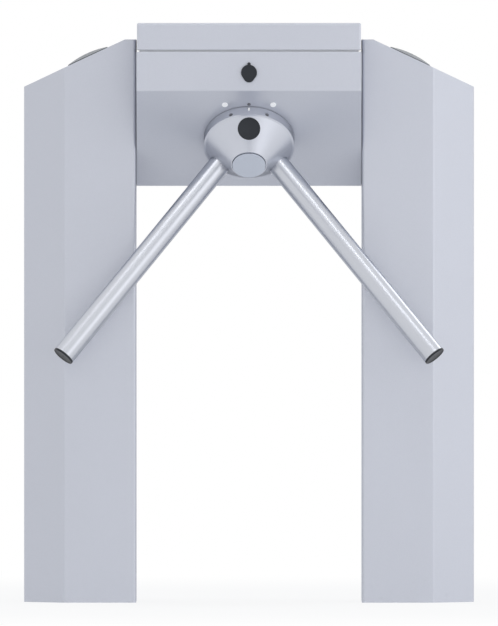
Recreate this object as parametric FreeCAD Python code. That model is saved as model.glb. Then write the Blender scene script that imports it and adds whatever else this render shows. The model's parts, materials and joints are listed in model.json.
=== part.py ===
"""Tripod turnstile: two pylons, a bridge housing with a hinged lid, and three arms on a tilted hub.

Millimetres, +Z up. The origin is on the floor, midway between the pylons and at half their depth,
and the arms stand out towards -Y. The mechanism is drawn in the hub frame: its origin is where the
hub axis meets the outside of the sloping panel, +z runs out along the axis and +y up the panel.
"""
import FreeCAD, Part
import math
import os

from FreeCAD import Placement, Rotation, Vector

# Sheet metal and clearances
SHEET = 2.0  # wall of the pylons, the housing and the lid
BEND = 5.0  # outer radius of a bent pylon edge
CREASE = 3.0  # outer radius of a bent housing or lid edge
SEAT_GAP = 0.3  # room round a piece that is let into another
RUN_GAP = 0.05  # radial room of a shaft in its bore
BOLT_GAP = 0.5  # radial room of a bolt in its hole
HEAD_ROUND = 0.6  # share of a button head's height that is rounded
SOCKET_SHARE = 0.75  # hexagon socket against the shank
PARALLEL = 0.999  # cosine that counts as along a direction
JOINT_GAP = 1.0  # between a pylon and the end of the housing

# Pylons
PYLON_SPAN = 389.6  # clear width between the pylons
PYLON_WIDTH = 194.0
PYLON_DEPTH = 220.0
PYLON_HEIGHT = 972.0  # level strip beside the inner edge
PYLON_FLAT = 19.5  # width of that strip
PYLON_SLOPE = 25.0  # fall of the rest of the top, degrees
PYLON_CHAMFER = 70.0  # each leg of the chamfer on an outer edge

# Floor fixing
BASE_PLATE = 10.0
ANCHOR_R = 7.0  # hole for an M12 anchor
ANCHOR_INNER = 40.0  # from the pylon's inner face
ANCHOR_OUTER = 44.0  # from the pylon's outer face
ANCHOR_EDGE = 55.0  # from the pylon's front and back
CONDUIT_R = 20.0  # cable entry in the base plate

# Service panels in the back of the pylons
PANEL_BOTTOM = 80.0
PANEL_TOP = 640.0
PANEL_MARGIN = 12.0  # sheet left beside the opening
PANEL_GAP = 0.8  # visible line round the panel
LIP_SHOW = 12.0  # lip that the panel lies on
LIP_BOND = 8.0  # lip behind the sheet
PANEL_SCREW_R = 2.0
PANEL_SCREW_LENGTH = 10.0
PANEL_HEAD_R = 3.8
PANEL_HEAD = 2.2

# Indicator lenses on the sloping tops
LENS_OUT = 83.5  # lens centre from the pylon's inner face
LENS_R = 37.2
LENS_EDGE = 0.4  # height of the lens rim
LENS_RISE = 4.6  # dome above the rim
LENS_WALL = 2.0
LENS_GASKET = 1.6
GASKET_LAP = 0.3  # gasket past the lens rim
SKIRT_R = 30.4
SKIRT_DEPTH = 30.0
LAMP_BOARD = 1.6
LAMP_DEPTH = 10.0  # back of the lamp board below the sheet
LAMP_COUNT = 12
LAMP_RING_R = 18.0
LAMP_SIDE = 4.0
READER_TOP = 14.0  # reader front below the sheet
READER_THICK = 14.0

# Bridge housing and lid
HOUSING_DROP = 21.5  # top of the housing below the pylons' level strip
HOUSING_HEIGHT = 231.3
FRONT_HEIGHT = 67.5  # upright front, above the sloping panel
NOSE_OVERHANG = 98.0  # front ahead of the pylons
SEAM = 3.5  # line between housing and lid
LID_HEIGHT = 46.0
LID_SIDE_GAP = 1.0  # lid short of the housing's ends
RIM = 14.0  # folded-in flange round the mouth
SEAL_INSET = 5.0
SEAL_WIDTH = 7.0
SEAL_GAP = 0.2

# Bolts through the housing ends into the pylons
BRIDGE_BOLT_R = 4.0
BRIDGE_HEAD_R = 6.5
BRIDGE_HEAD = 5.0
BRIDGE_NUT_R = 7.5
BRIDGE_NUT = 6.5
BRIDGE_TAIL = 2.5  # thread past the nut
BRIDGE_BOLT_LOW = 30.0  # above the housing floor
BRIDGE_BOLT_HIGH = 32.0  # below the housing top
BRIDGE_BOLT_FRONT = 25.0  # behind the foot of the sloping panel
BRIDGE_BOLT_BACK = 30.0  # ahead of the housing back
GASKET_INSET = 3.0
GASKET_WIDTH = 40.0
GROMMET_R = 15.0
GROMMET_LIP = 3.0
GROMMET_RIM = 2.0
GROMMET_BORE = 10.0
GROMMET_BACK = 60.0  # ahead of the housing back
GROMMET_RISE = 80.0  # above the housing floor

# Lid hinges
HINGE_OUT = 120.0  # hinge centre from the middle
HINGE_LENGTH = 60.0
HINGE_LEAF = 22.0
HINGE_SHEET = 2.0
KNUCKLE_R = 4.0
KNUCKLE_STANDOFF = 0.5  # knuckle clear of the housing back
KNUCKLE_SHARE = 18.0  # length of each outer knuckle
KNUCKLE_GAP = 0.3
HINGE_PIN_R = 1.8

# Key lock of the lid
LOCK_DROP = 38.0  # lock axis below the housing top
LOCK_R = 9.5
LOCK_HEAD_R = 12.0
LOCK_HEAD = 2.0
LOCK_DEPTH = 24.0  # barrel behind the front
LOCK_NUT_R = 13.5
LOCK_NUT = 5.0
PLUG_R = 6.0
PLUG_PROUD = 0.4
KEYWAY_WIDTH = 1.6
KEYWAY_HEIGHT = 8.0
KEYWAY_DEPTH = 16.0
CAM_LENGTH = 36.0
CAM_R = 6.5
CAM_SHEET = 3.0
CAM_SCREW_R = 4.0
CAM_SCREW = 2.5
CATCH_NEAR = 18.0  # catch from the lock axis
CATCH_WIDTH = 20.0
CATCH_SHEET = 3.0
CATCH_ROOM = 3.0  # room round the cam
COVER_R = 13.7
COVER_TOE_R = 9.5
COVER_RISE = 2.0  # centre of the round part above the lock axis
COVER_TOE_DROP = 5.3  # centre of the toe below the lock axis
COVER_SHEET = 2.0
COVER_ROOM = 0.6  # cover clear of the lock
COVER_PIVOT = 16.8  # pivot above the lock axis
COVER_LUG_R = 2.9
COVER_PIN_R = 1.3
COVER_PIN_HEAD_R = 2.2
COVER_PIN_HEAD = 0.8

# Hub, in the hub frame
HUB_TILT = 45.0  # hub axis below the horizontal, degrees
HUB_R = 78.0
HUB_GAP = 1.0  # hub clear of the sloping panel
HUB_RING = 19.0
HUB_EDGE = 3.0  # cone inside the ring
HUB_BEVEL = 1.5
HUB_FRONT_R = 31.0
CAP_R = 28.8
CAP_GROOVE = 0.9  # open line round the cap
CAP_THICK = 3.0  # seat of the cap below the hub's front
CAP_PROUD = 2.5
CAP_EDGE = 0.6
HUB_NUT_R = 17.0
HUB_NUT = 10.0
HUB_WASHER_R = 20.0
HUB_WASHER = 2.5
NUT_POCKET_R = 24.0
SET_SCREW_R = 3.6
SET_SCREW_LENGTH = 17.0
SET_SCREW_SUNK = 2.0
SET_SCREW_RISE = 13.6  # above the sloping panel
SET_SCREW_TURN = 23.5  # either side of an arm, degrees
MARK_WIDTH = 3.0  # home mark on the ring
MARK_LENGTH = 6.6
MARK_RISE = 3.2
MARK_DEPTH = 6.0

# Arms
ARM_COUNT = 3
ARM_R = 19.0
ARM_WALL = 2.0
ARM_APEX = 24.0  # where the arm axes meet, behind the sloping panel
ARM_SEAT = 60.0  # tube's inner end from there
ARM_REACH = 523.0  # outer end from there
SPIGOT_LENGTH = 70.0
END_CAP = 3.5
END_CAP_LAP = 0.3
END_CAP_EDGE = 1.0
END_CAP_RIM = 2.5  # raised rim round the sunk face
END_CAP_DISH = 0.8
END_PLUG = 18.0

# Main shaft and bearings
SHAFT_R = 15.0
SHAFT_FLANGE_R = 36.0
SHAFT_FLANGE = 10.0
SHAFT_STUB_R = 10.0
SHAFT_COLLAR_R = 19.0
SHAFT_TAIL = 4.0  # shaft past its nut
BEARING_R = 31.0
BEARING_WIDTH = 16.0
RACE = 4.5
BALL_R = 4.4
BALL_COUNT = 9
BALL_GAP = 0.1
BEARING_BODY_R = 40.0
BEARING_BODY = 75.0
BEARING_BORE_R = 26.0
BEARING_SUNK = 2.0  # front bearing below the spigot's end
BODY_SUNK = 1.0  # spigot below the inside of the sheet
BODY_FLANGE_R = 60.0
BODY_FLANGE = 8.0
SPIGOT_R = 42.0
BODY_SCREW_COUNT = 6
BODY_SCREW_RING = 51.0
BODY_SCREW_R = 3.0
BODY_HEAD_R = 5.0
BODY_HEAD = 6.0
BODY_SCREW_BITE = 6.0

# Mechanism plate and its screws
PLATE = 8.0
PLATE_HALF = 124.0
PLATE_HIGH = 100.0
PLATE_LOW = 106.0
PLATE_SCREW_OUT = 41.6
PLATE_SCREW_UP = 82.8
PLATE_SCREW_R = 3.0
PLATE_HEAD_R = 4.4
PLATE_HEAD = 1.0
COVER_CAP_WALL = 0.6
LOCATOR_UP = 83.4
LOCATOR_R = 3.0
LOCATOR_PROUD = 0.8

# Locking wheel, pawls and solenoids
WHEEL_R = 58.0
WHEEL = 8.0
WHEEL_HUB = 6.0  # hub between bearing and wheel, and wheel and gear
NOTCH_COUNT = 6
NOTCH_DEPTH = 10.0
NOTCH_WIDTH = 14.0
NOTCH_TURN = 30.0  # first notch from +x, degrees
PAWL_OUT = 84.0  # pawl pivot
PAWL_DOWN = 10.0
PAWL_SWING = 10.0  # released to engaged, degrees
PAWL_NOSE_R = 4.5
PAWL_BITE = 7.0  # nose inside the wheel's rim when engaged
PAWL_ELBOW = 16.0  # elbow outside the rim
PAWL_HUB_R = 10.0
PAWL_TAIL = 22.0
PAWL_TAIL_R = 5.0
POST_R = 5.0
POST_COLLAR_R = 8.0
POST_COLLAR = 3.0
POST_HEAD = 3.5
SOLENOID_SIDE = 26.0
SOLENOID_HIGH = 34.0
SOLENOID_DROP = 18.2  # solenoid top below the pawl's tail at rest
YOKE = 3.0  # steel frame round the coil
COIL_ROOM = 0.5  # coil clear of the open sides of its yoke
PLUNGER_R = 4.0
PLUNGER_PAD_R = 6.0
PLUNGER_PAD = 3.0
PLUNGER_DEPTH = 27.0
PLUNGER_GAP = 0.2
TAB = 4.0  # tab that the solenoid stands on

# Drive gear, motor and encoder
MODULE = 3.0
GEAR_TEETH = 36
PINION_TEETH = 12
PRESSURE_ANGLE = 25.0
ADDENDUM = 0.8  # in modules
DEDENDUM = 1.0
BACKLASH = 0.3
FLANK_STEPS = 4
GEAR = 10.0
PINION_LONGER = 1.0
MOTOR_SHAFT_R = 4.0
GEARBOX_R = 25.0
GEARBOX = 32.0
MOTOR_R = 22.0
MOTOR = 48.0
MOTOR_BOSS_R = 12.0
BRACKET = 4.0
BRACKET_BEHIND = 5.0  # bracket behind the gear
BRACKET_HALF = 74.0
BRACKET_REACH = 36.0  # above and below the motor axis
SPACER_R = 5.0
LOWER_SPACER = (45.0, 26.0)  # out from and below the motor axis
UPPER_SPACER = (64.0, -26.0)
ENCODER_R = 42.0
ENCODER_DISC = 1.5
ENCODER_HUB_R = 20.0
ENCODER_BEHIND = 11.5  # disc behind the gear
ENCODER_SLOTS = 24
ENCODER_SLOT_R = 1.6
ENCODER_SLOT_EDGE = 4.0
FORK_HALF = 8.0
FORK_LAP = 8.0  # fork over the edge of the disc
FORK_WALL = 4.0
FORK_GAP = 2.0
FORK_POST_UP = 70.0
FORK_END = 7.0  # fork past its post
SHAFT_NUT_R = 22.0
SHAFT_NUT = 8.0

# Electronics in the housing
BOARD_WIDTH = 130.0
BOARD_HEIGHT = 120.0
BOARD = 1.6
BOARD_STANDOFF = 8.0
BOARD_STANDOFF_R = 4.0
BOARD_INSET = 8.0  # standoff from the board's edges
BOARD_SIDE = 16.0  # board from the housing end
BOARD_RISE = 60.0  # board above the housing floor
CHIP_SIDE = 18.0
CHIP_HIGH = 3.0
RELAY_WIDE = 14.0
RELAY_LONG = 20.0
RELAY_HIGH = 12.0
RELAY_COUNT = 3
RELAY_PITCH = 24.0
TERMINAL_LONG = 90.0
TERMINAL_DEEP = 10.0
TERMINAL_HIGH = 11.0
SUPPLY_LONG = 150.0
SUPPLY_DEEP = 90.0
SUPPLY_HIGH = 38.0
SUPPLY_SIDE = 22.0  # power supply from the housing end
SUPPLY_BACK = 8.0  # power supply from the housing back
SHELF_DEEP = 16.0  # step in the supply for its terminals
SHELF_HIGH = 14.0
STRIP_HIGH = 15.0  # terminal strip on the step
STRIP_GAP = 3.0  # strip clear of the case
STRIP_END = 8.0  # strip short of the step's ends
VENT_COUNT = 9
VENT_WIDTH = 4.0
VENT_DEPTH = 2.0
VENT_MARGIN = 18.0  # vents from the edges of the supply's top

# Places worked out from the sizes above
PYLON_INNER = PYLON_SPAN / 2
PYLON_OUTER = PYLON_INNER + PYLON_WIDTH
PYLON_FRONT = -PYLON_DEPTH / 2
PYLON_BACK = PYLON_DEPTH / 2
HOUSING_END = PYLON_INNER - JOINT_GAP
HOUSING_TOP = PYLON_HEIGHT - HOUSING_DROP
HOUSING_FLOOR = HOUSING_TOP - HOUSING_HEIGHT
NOSE_LOW = HOUSING_TOP - FRONT_HEIGHT
HOUSING_FRONT = PYLON_FRONT - NOSE_OVERHANG
TILT = math.radians(HUB_TILT)
HOUSING_FOOT = HOUSING_FRONT + (NOSE_LOW - HOUSING_FLOOR) * math.tan(TILT)
LID_LOW = HOUSING_TOP + SEAM
LID_TOP = LID_LOW + LID_HEIGHT
LOCK_Z = HOUSING_TOP - LOCK_DROP
HUB_FRAME = Placement(
    Vector(0, (HOUSING_FRONT + HOUSING_FOOT) / 2, (NOSE_LOW + HOUSING_FLOOR) / 2),
    Rotation(Vector(1, 0, 0), 90 + HUB_TILT),
)
CONE_BASE_R = HUB_R - HUB_EDGE
CONE_LOW = HUB_GAP + HUB_RING
HUB_FRONT = CONE_LOW + (CONE_BASE_R - HUB_FRONT_R) * math.tan(TILT)
POCKET_FLOOR = HUB_FRONT - CAP_THICK - HUB_NUT - HUB_WASHER
FLANGE_TOP = HUB_GAP + SHAFT_FLANGE
PLATE_BACK = -SHEET - PLATE
BODY_FRONT = -SHEET - BODY_SUNK
BODY_BACK = BODY_FRONT - BEARING_BODY
FRONT_BEARING = BODY_FRONT - BEARING_SUNK - BEARING_WIDTH
WHEEL_FRONT = BODY_BACK - WHEEL_HUB
WHEEL_BACK = WHEEL_FRONT - WHEEL
GEAR_FRONT = WHEEL_BACK - WHEEL_HUB
GEAR_BACK = GEAR_FRONT - GEAR
DISC_FRONT = GEAR_BACK - ENCODER_BEHIND
DISC_BACK = DISC_FRONT - ENCODER_DISC
NUT_BACK = DISC_BACK - SHAFT_NUT
BRACKET_FRONT = GEAR_BACK - BRACKET_BEHIND
BRACKET_BACK = BRACKET_FRONT - BRACKET
MOTOR_DOWN = MODULE * (GEAR_TEETH + PINION_TEETH) / 2
AXIS = Vector(0, 0, 1)


def point(axis, height, first, second):
    """Point at a height along one axis, with its other two coordinates in order."""
    if axis == "x":
        return Vector(height, first, second)
    if axis == "y":
        return Vector(first, height, second)
    return Vector(first, second, height)


def prism(axis, outline, low, high):
    """Straight-sided outline drawn out along one axis."""
    corners = [point(axis, low, *corner) for corner in outline]
    face = Part.Face(Part.makePolygon(corners + corners[:1]))
    return face.extrude(point(axis, high - low, 0, 0))


def block(low, high):
    """Box between two opposite corners."""
    size = [end - start for start, end in zip(low, high)]
    return Part.makeBox(*size, Vector(*low))


def disc(radius, low, high, x=0.0, y=0.0):
    """Round bar along z between two heights."""
    return Part.makeCylinder(radius, high - low, Vector(x, y, low))


def ring(outer, inner, low, high):
    """Tube along z between two heights."""
    return disc(outer, low, high).cut(disc(inner, low, high))


def turned(profile):
    """Solid of revolution about z from a closed outline of radius and height."""
    corners = [Vector(radius, 0, height) for radius, height in profile]
    face = Part.Face(Part.makePolygon(corners + corners[:1]))
    return face.revolve(Vector(0, 0, 0), AXIS, 360)


def hexagon(radius, low, high):
    """Six-sided bar along z."""
    corners = [(radius * math.cos(k * math.pi / 3), radius * math.sin(k * math.pi / 3)) for k in range(6)]
    return prism("z", corners, low, high)


def bar(start, end, radius, low, high):
    """Round-ended bar between two points of the x-y plane."""
    first = Vector(start[0], start[1], low)
    last = Vector(end[0], end[1], low)
    tip = (last - first).normalize() * radius
    side = Vector(-tip.y, tip.x, 0)
    edges = [
        Part.LineSegment(first - side, last - side),
        Part.Arc(last - side, last + tip, last + side),
        Part.LineSegment(last + side, first + side),
        Part.Arc(first + side, first - tip, first - side),
    ]
    wire = Part.Wire([edge.toShape() for edge in edges])
    return Part.Face(wire).extrude(Vector(0, 0, high - low))


def inset(outline, distance):
    """Convex outline, anticlockwise, moved in by one distance on every side."""
    lines = []
    for (x0, y0), (x1, y1) in zip(outline, outline[1:] + outline[:1]):
        length = math.hypot(x1 - x0, y1 - y0)
        across = (y0 - y1) / length
        up = (x1 - x0) / length
        lines.append((across, up, across * x0 + up * y0 + distance))
    corners = []
    for (a, b, c), (d, e, f) in zip(lines[-1:] + lines[:-1], lines):
        share = a * e - b * d
        corners.append(((c * e - b * f) / share, (a * f - c * d) / share))
    return corners


def edges_along(shape, direction):
    """Straight edges that run along a direction."""
    found = []
    for edge in shape.Edges:
        run = edge.Vertexes[-1].Point - edge.Vertexes[0].Point
        if abs(run.dot(direction)) > PARALLEL * edge.Length:
            found.append(edge)
    return found


def top_edges(shape, height):
    """Edges that lie in the upper half of a shape that stands on z = 0."""
    return [edge for edge in shape.Edges if edge.BoundBox.ZMin > height / 2]


def at(shape, place, direction=AXIS):
    """Copy of a shape moved to a place, with its z axis along a direction."""
    return shape.copy().transformed(Placement(place, Rotation(AXIS, direction)).toMatrix())


def turn(shape, angle):
    """Copy of a shape turned about the z axis, degrees."""
    return shape.copy().transformed(Placement(Vector(), Rotation(AXIS, angle)).toMatrix())


def mirrored(shape):
    """Copy of a shape on the other side of the middle plane."""
    return shape.mirror(Vector(0, 0, 0), Vector(1, 0, 0))


def pair(shape):
    """A right-hand piece and its left-hand twin, as separate solids."""
    return Part.makeCompound([mirrored(shape), shape])


def in_hub_frame(shape):
    """Copy of a shape carried from the hub frame to its place in the turnstile."""
    return shape.copy().transformed(HUB_FRAME.toMatrix())


def screw(shank, length, head_r, head):
    """Button-head screw with a hexagon socket: head above z = 0, shank below."""
    button = disc(head_r, 0, head)
    button = button.makeFillet(head * HEAD_ROUND, top_edges(button, head))
    whole = button.fuse(disc(shank, -length, 0)).removeSplitter()
    return whole.cut(hexagon(shank * SOCKET_SHARE, head / 2, head))


def pylon_body(distance, low):
    """Right-hand pylon as a solid, moved in by a distance on its sides and top."""
    plan = [
        (PYLON_INNER, PYLON_FRONT),
        (PYLON_OUTER - PYLON_CHAMFER, PYLON_FRONT),
        (PYLON_OUTER, PYLON_FRONT + PYLON_CHAMFER),
        (PYLON_OUTER, PYLON_BACK - PYLON_CHAMFER),
        (PYLON_OUTER - PYLON_CHAMFER, PYLON_BACK),
        (PYLON_INNER, PYLON_BACK),
    ]
    fall = (PYLON_WIDTH - PYLON_FLAT) * math.tan(math.radians(PYLON_SLOPE))
    side = [
        (PYLON_INNER, low - distance),
        (PYLON_OUTER, low - distance),
        (PYLON_OUTER, PYLON_HEIGHT - fall),
        (PYLON_INNER + PYLON_FLAT, PYLON_HEIGHT),
        (PYLON_INNER, PYLON_HEIGHT),
    ]
    column = prism("z", inset(plan, distance), low, PYLON_HEIGHT)
    column = column.makeFillet(BEND - distance, edges_along(column, AXIS))
    return column.common(prism("y", inset(side, distance), PYLON_FRONT, PYLON_BACK))


def lens_frame(shape):
    """Shape carried from the lens frame, whose z axis is square to the sloping top."""
    fall = (LENS_OUT - PYLON_FLAT) * math.tan(math.radians(PYLON_SLOPE))
    slope = Rotation(Vector(0, 1, 0), PYLON_SLOPE)
    place = Placement(Vector(PYLON_INNER + LENS_OUT, 0, PYLON_HEIGHT - fall), slope)
    return shape.copy().transformed(place.toMatrix())


def panel_bounds(margin):
    """Service opening of the right pylon, moved in by a margin: x and z of two corners."""
    left = PYLON_INNER + PANEL_MARGIN + margin
    right = PYLON_OUTER - PYLON_CHAMFER - PANEL_MARGIN - margin
    return left, PANEL_BOTTOM + margin, right, PANEL_TOP - margin


def panel_block(margin, front, back):
    """Slab over the service opening between two depths."""
    left, low, right, high = panel_bounds(margin)
    return block((left, front, low), (right, back, high))


def panel_screw_places():
    left, low, right, high = panel_bounds(LIP_SHOW / 2)
    return [Vector(x, PYLON_BACK, z) for x in (left, right) for z in (low, high)]


def bridge_bolt_places():
    """Depth and height of the bolts in each end of the housing."""
    depths = (HOUSING_FOOT + BRIDGE_BOLT_FRONT, PYLON_BACK - BRIDGE_BOLT_BACK)
    heights = (HOUSING_FLOOR + BRIDGE_BOLT_LOW, HOUSING_TOP - BRIDGE_BOLT_HIGH)
    return [(y, z) for y in depths for z in heights]


def grommet_place(x):
    return Vector(x, PYLON_BACK - GROMMET_BACK, HOUSING_FLOOR + GROMMET_RISE)


def end_holes(bolt_gap):
    """Bolt and cable holes that run through the right end of the housing and the pylon beside it."""
    length = SHEET * 4 + JOINT_GAP
    start = HOUSING_END - SHEET * 2
    out = Vector(1, 0, 0)
    holes = [
        Part.makeCylinder(BRIDGE_BOLT_R + bolt_gap, length, Vector(start, y, z), out)
        for y, z in bridge_bolt_places()
    ]
    holes.append(Part.makeCylinder(GROMMET_R, length, grommet_place(start), out))
    return holes


def pylon():
    """Shell, base plate, service panel and panel screws of the right-hand pylon."""
    hollow = pylon_body(SHEET, 0.0)
    shell = pylon_body(0.0, 0.0).cut(hollow)
    inside = PYLON_BACK - SHEET
    lip = panel_block(-LIP_BOND, inside - SHEET, inside)
    shell = shell.fuse(lip).cut(panel_block(0.0, inside, PYLON_BACK))
    shell = shell.cut(panel_block(LIP_SHOW, inside - SHEET, inside))
    screw_hole = disc(PANEL_SCREW_R, -PANEL_SCREW_LENGTH, SHEET)
    back = Vector(0, 1, 0)
    shell = shell.cut([at(screw_hole, place, back) for place in panel_screw_places()])
    shell = shell.cut(lens_frame(disc(SKIRT_R + BOLT_GAP, -SHEET * 2, SHEET)))
    shell = shell.cut(end_holes(BOLT_GAP)).removeSplitter()

    plate = pylon_body(SHEET + SEAT_GAP, 0.0).common(
        block((PYLON_INNER, PYLON_FRONT, 0), (PYLON_OUTER, PYLON_BACK, BASE_PLATE))
    )
    anchors = (PYLON_INNER + ANCHOR_INNER, PYLON_OUTER - ANCHOR_OUTER)
    for x in anchors:
        for y in (PYLON_FRONT + ANCHOR_EDGE, PYLON_BACK - ANCHOR_EDGE):
            plate = plate.cut(disc(ANCHOR_R, 0, BASE_PLATE, x, y))
    plate = plate.cut(disc(CONDUIT_R, 0, BASE_PLATE, sum(anchors) / 2))

    panel = panel_block(PANEL_GAP, inside, PYLON_BACK)
    hole = disc(PANEL_SCREW_R + BOLT_GAP, -SHEET, SHEET)
    panel = panel.cut([at(hole, place, back) for place in panel_screw_places()])
    fastener = screw(PANEL_SCREW_R, PANEL_SCREW_LENGTH, PANEL_HEAD_R, PANEL_HEAD)
    screws = [at(fastener, place, back) for place in panel_screw_places()]
    return shell, plate, panel, screws


def dome(rim_r, rim, top):
    """Edge of a shallow dome, from its rim to its crown."""
    rise = top - rim
    bow = (rim_r**2 + rise**2) / (2 * rise)
    middle = rim_r / 2
    height = top - bow + math.sqrt(bow**2 - middle**2)
    return Part.Arc(Vector(rim_r, 0, rim), Vector(middle, 0, height), Vector(0, 0, top)).toShape()


def indicator():
    """Lens, gasket, lamp board and card reader of the right-hand pylon."""
    rim = LENS_GASKET + LENS_EDGE
    crown = rim + LENS_RISE
    skirt_inner = SKIRT_R - LENS_WALL
    outer = dome(LENS_R, rim, crown)
    inner = dome(skirt_inner, rim, crown - LENS_WALL)
    corners = [
        Vector(0, 0, crown - LENS_WALL),
        Vector(0, 0, crown),
    ]
    foot = [
        Vector(LENS_R, 0, rim),
        Vector(LENS_R, 0, LENS_GASKET),
        Vector(SKIRT_R, 0, LENS_GASKET),
        Vector(SKIRT_R, 0, -SKIRT_DEPTH),
        Vector(skirt_inner, 0, -SKIRT_DEPTH),
        Vector(skirt_inner, 0, rim),
    ]
    edges = [Part.makeLine(*corners), outer, inner]
    edges += [Part.makeLine(start, end) for start, end in zip(foot, foot[1:])]
    wire = Part.Wire(Part.__sortEdges__(edges))
    lens = Part.Face(wire).revolve(Vector(0, 0, 0), AXIS, 360)
    gasket = ring(LENS_R + GASKET_LAP, SKIRT_R + SEAT_GAP, 0, LENS_GASKET)
    core_r = skirt_inner - SEAT_GAP
    board = [disc(core_r, -LAMP_DEPTH, LAMP_BOARD - LAMP_DEPTH)]
    half = LAMP_SIDE / 2
    lamp_low = LAMP_BOARD - LAMP_DEPTH
    lamp = block(
        (LAMP_RING_R - half, -half, lamp_low), (LAMP_RING_R + half, half, lamp_low + LAMP_BOARD)
    )
    board += [turn(lamp, k * 360 / LAMP_COUNT) for k in range(LAMP_COUNT)]
    reader = disc(core_r, -READER_TOP - READER_THICK, -READER_TOP)
    return [lens_frame(shape) for shape in (lens, gasket, Part.makeCompound(board), reader)]


def housing_section():
    """Outline of the housing across its length, anticlockwise in depth and height."""
    return [
        (HOUSING_FRONT, HOUSING_TOP),
        (HOUSING_FRONT, NOSE_LOW),
        (HOUSING_FOOT, HOUSING_FLOOR),
        (PYLON_BACK, HOUSING_FLOOR),
        (PYLON_BACK, HOUSING_TOP),
    ]


def mouth(margin, low, high, end=HOUSING_END):
    """Block over the open top of the housing, in by a margin from its front, its back and its ends."""
    return block((margin - end, HOUSING_FRONT + margin, low), (end - margin, PYLON_BACK - margin, high))


def plate_screw_places():
    """Places in the hub frame of the screws through the sloping panel."""
    return [(x, y) for x in (-PLATE_SCREW_OUT, PLATE_SCREW_OUT) for y in (-PLATE_SCREW_UP, PLATE_SCREW_UP)]


def lower_folds(shape):
    """Folds of the housing along its length, all but those at its mouth."""
    along = edges_along(shape, Vector(1, 0, 0))
    return [edge for edge in along if edge.BoundBox.ZMax < shape.BoundBox.ZMax - SHEET]


def housing():
    """Folded housing with its end walls, open at the top inside a folded-in rim."""
    body = prism("x", housing_section(), -HOUSING_END, HOUSING_END)
    body = body.makeFillet(CREASE, lower_folds(body))
    room = prism("x", inset(housing_section(), SHEET), SHEET - HOUSING_END, HOUSING_END - SHEET)
    room = room.makeFillet(CREASE - SHEET, lower_folds(room))
    body = body.cut(room).cut(mouth(SHEET + RIM, HOUSING_TOP - SHEET * 2, HOUSING_TOP + SHEET))
    holes = [disc(SPIGOT_R + BOLT_GAP, -SHEET * 2, SHEET)]
    holes += [disc(PLATE_SCREW_R + BOLT_GAP, -SHEET * 2, SHEET, x, y) for x, y in plate_screw_places()]
    holes.append(disc(LOCATOR_R, -SHEET * 2, SHEET, 0, LOCATOR_UP))
    body = body.cut([in_hub_frame(hole) for hole in holes])
    forward = Vector(0, -1, 0)
    body = body.cut(at(disc(LOCK_R + RUN_GAP, -SHEET * 2, SHEET), Vector(0, HOUSING_FRONT, LOCK_Z), forward))
    pin_hole = disc(COVER_PIN_R, -SHEET * 2, SHEET)
    body = body.cut(at(pin_hole, Vector(0, HOUSING_FRONT, LOCK_Z + COVER_PIVOT), forward))
    return body.cut(end_holes(BOLT_GAP)).cut([mirrored(hole) for hole in end_holes(BOLT_GAP)])


def bridge_joint():
    """Gasket, bolts, nuts and cable grommet between the housing and the right-hand pylon."""
    outline = inset(housing_section(), GASKET_INSET)
    gasket = prism("x", outline, HOUSING_END, PYLON_INNER)
    gasket = gasket.cut(prism("x", inset(outline, GASKET_WIDTH), HOUSING_END, PYLON_INNER))
    flat = PYLON_BACK - BEND - GASKET_INSET
    reach = block((HOUSING_END, -flat, HOUSING_FLOOR), (PYLON_INNER, flat, HOUSING_TOP))
    gasket = gasket.common(reach).cut(end_holes(BOLT_GAP))
    head_end = HOUSING_END - SHEET
    nut_start = PYLON_INNER + SHEET
    length = nut_start + BRIDGE_NUT + BRIDGE_TAIL - head_end
    bolt = disc(BRIDGE_BOLT_R, 0, length).fuse(disc(BRIDGE_HEAD_R, -BRIDGE_HEAD, 0)).removeSplitter()
    bolt = bolt.cut(hexagon(BRIDGE_BOLT_R, -BRIDGE_HEAD, -BRIDGE_HEAD / 2))
    nut = hexagon(BRIDGE_NUT_R, 0, BRIDGE_NUT).cut(disc(BRIDGE_BOLT_R, 0, BRIDGE_NUT))
    out = Vector(1, 0, 0)
    bolts = [at(bolt, Vector(head_end, y, z), out) for y, z in bridge_bolt_places()]
    nuts = [at(nut, Vector(nut_start, y, z), out) for y, z in bridge_bolt_places()]
    through = nut_start - head_end
    grommet = ring(GROMMET_R, GROMMET_BORE, 0, through)
    for low in (-GROMMET_RIM, through):
        grommet = grommet.fuse(ring(GROMMET_R + GROMMET_LIP, GROMMET_BORE, low, low + GROMMET_RIM))
    grommet = at(grommet.removeSplitter(), grommet_place(head_end), out)
    return gasket, bolts, nuts, grommet


def lid():
    """Folded lid with a rim round its open underside, and the seal that it closes on."""
    end = HOUSING_END - LID_SIDE_GAP
    body = block((-end, HOUSING_FRONT, LID_LOW), (end, PYLON_BACK, LID_TOP))
    folds = edges_along(body, AXIS) + [edge for edge in body.Edges if edge.BoundBox.ZMin > LID_TOP - RUN_GAP]
    body = body.makeFillet(CREASE, folds)
    body = body.cut(mouth(SHEET, LID_LOW + SHEET, LID_TOP - SHEET, end))
    body = body.cut(mouth(SHEET + RIM, LID_LOW, LID_TOP - SHEET, end))
    seal = mouth(SEAL_INSET, HOUSING_TOP, LID_LOW - SEAL_GAP)
    seal = seal.cut(mouth(SEAL_INSET + SEAL_WIDTH, HOUSING_TOP, LID_LOW))
    return body, seal


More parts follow.
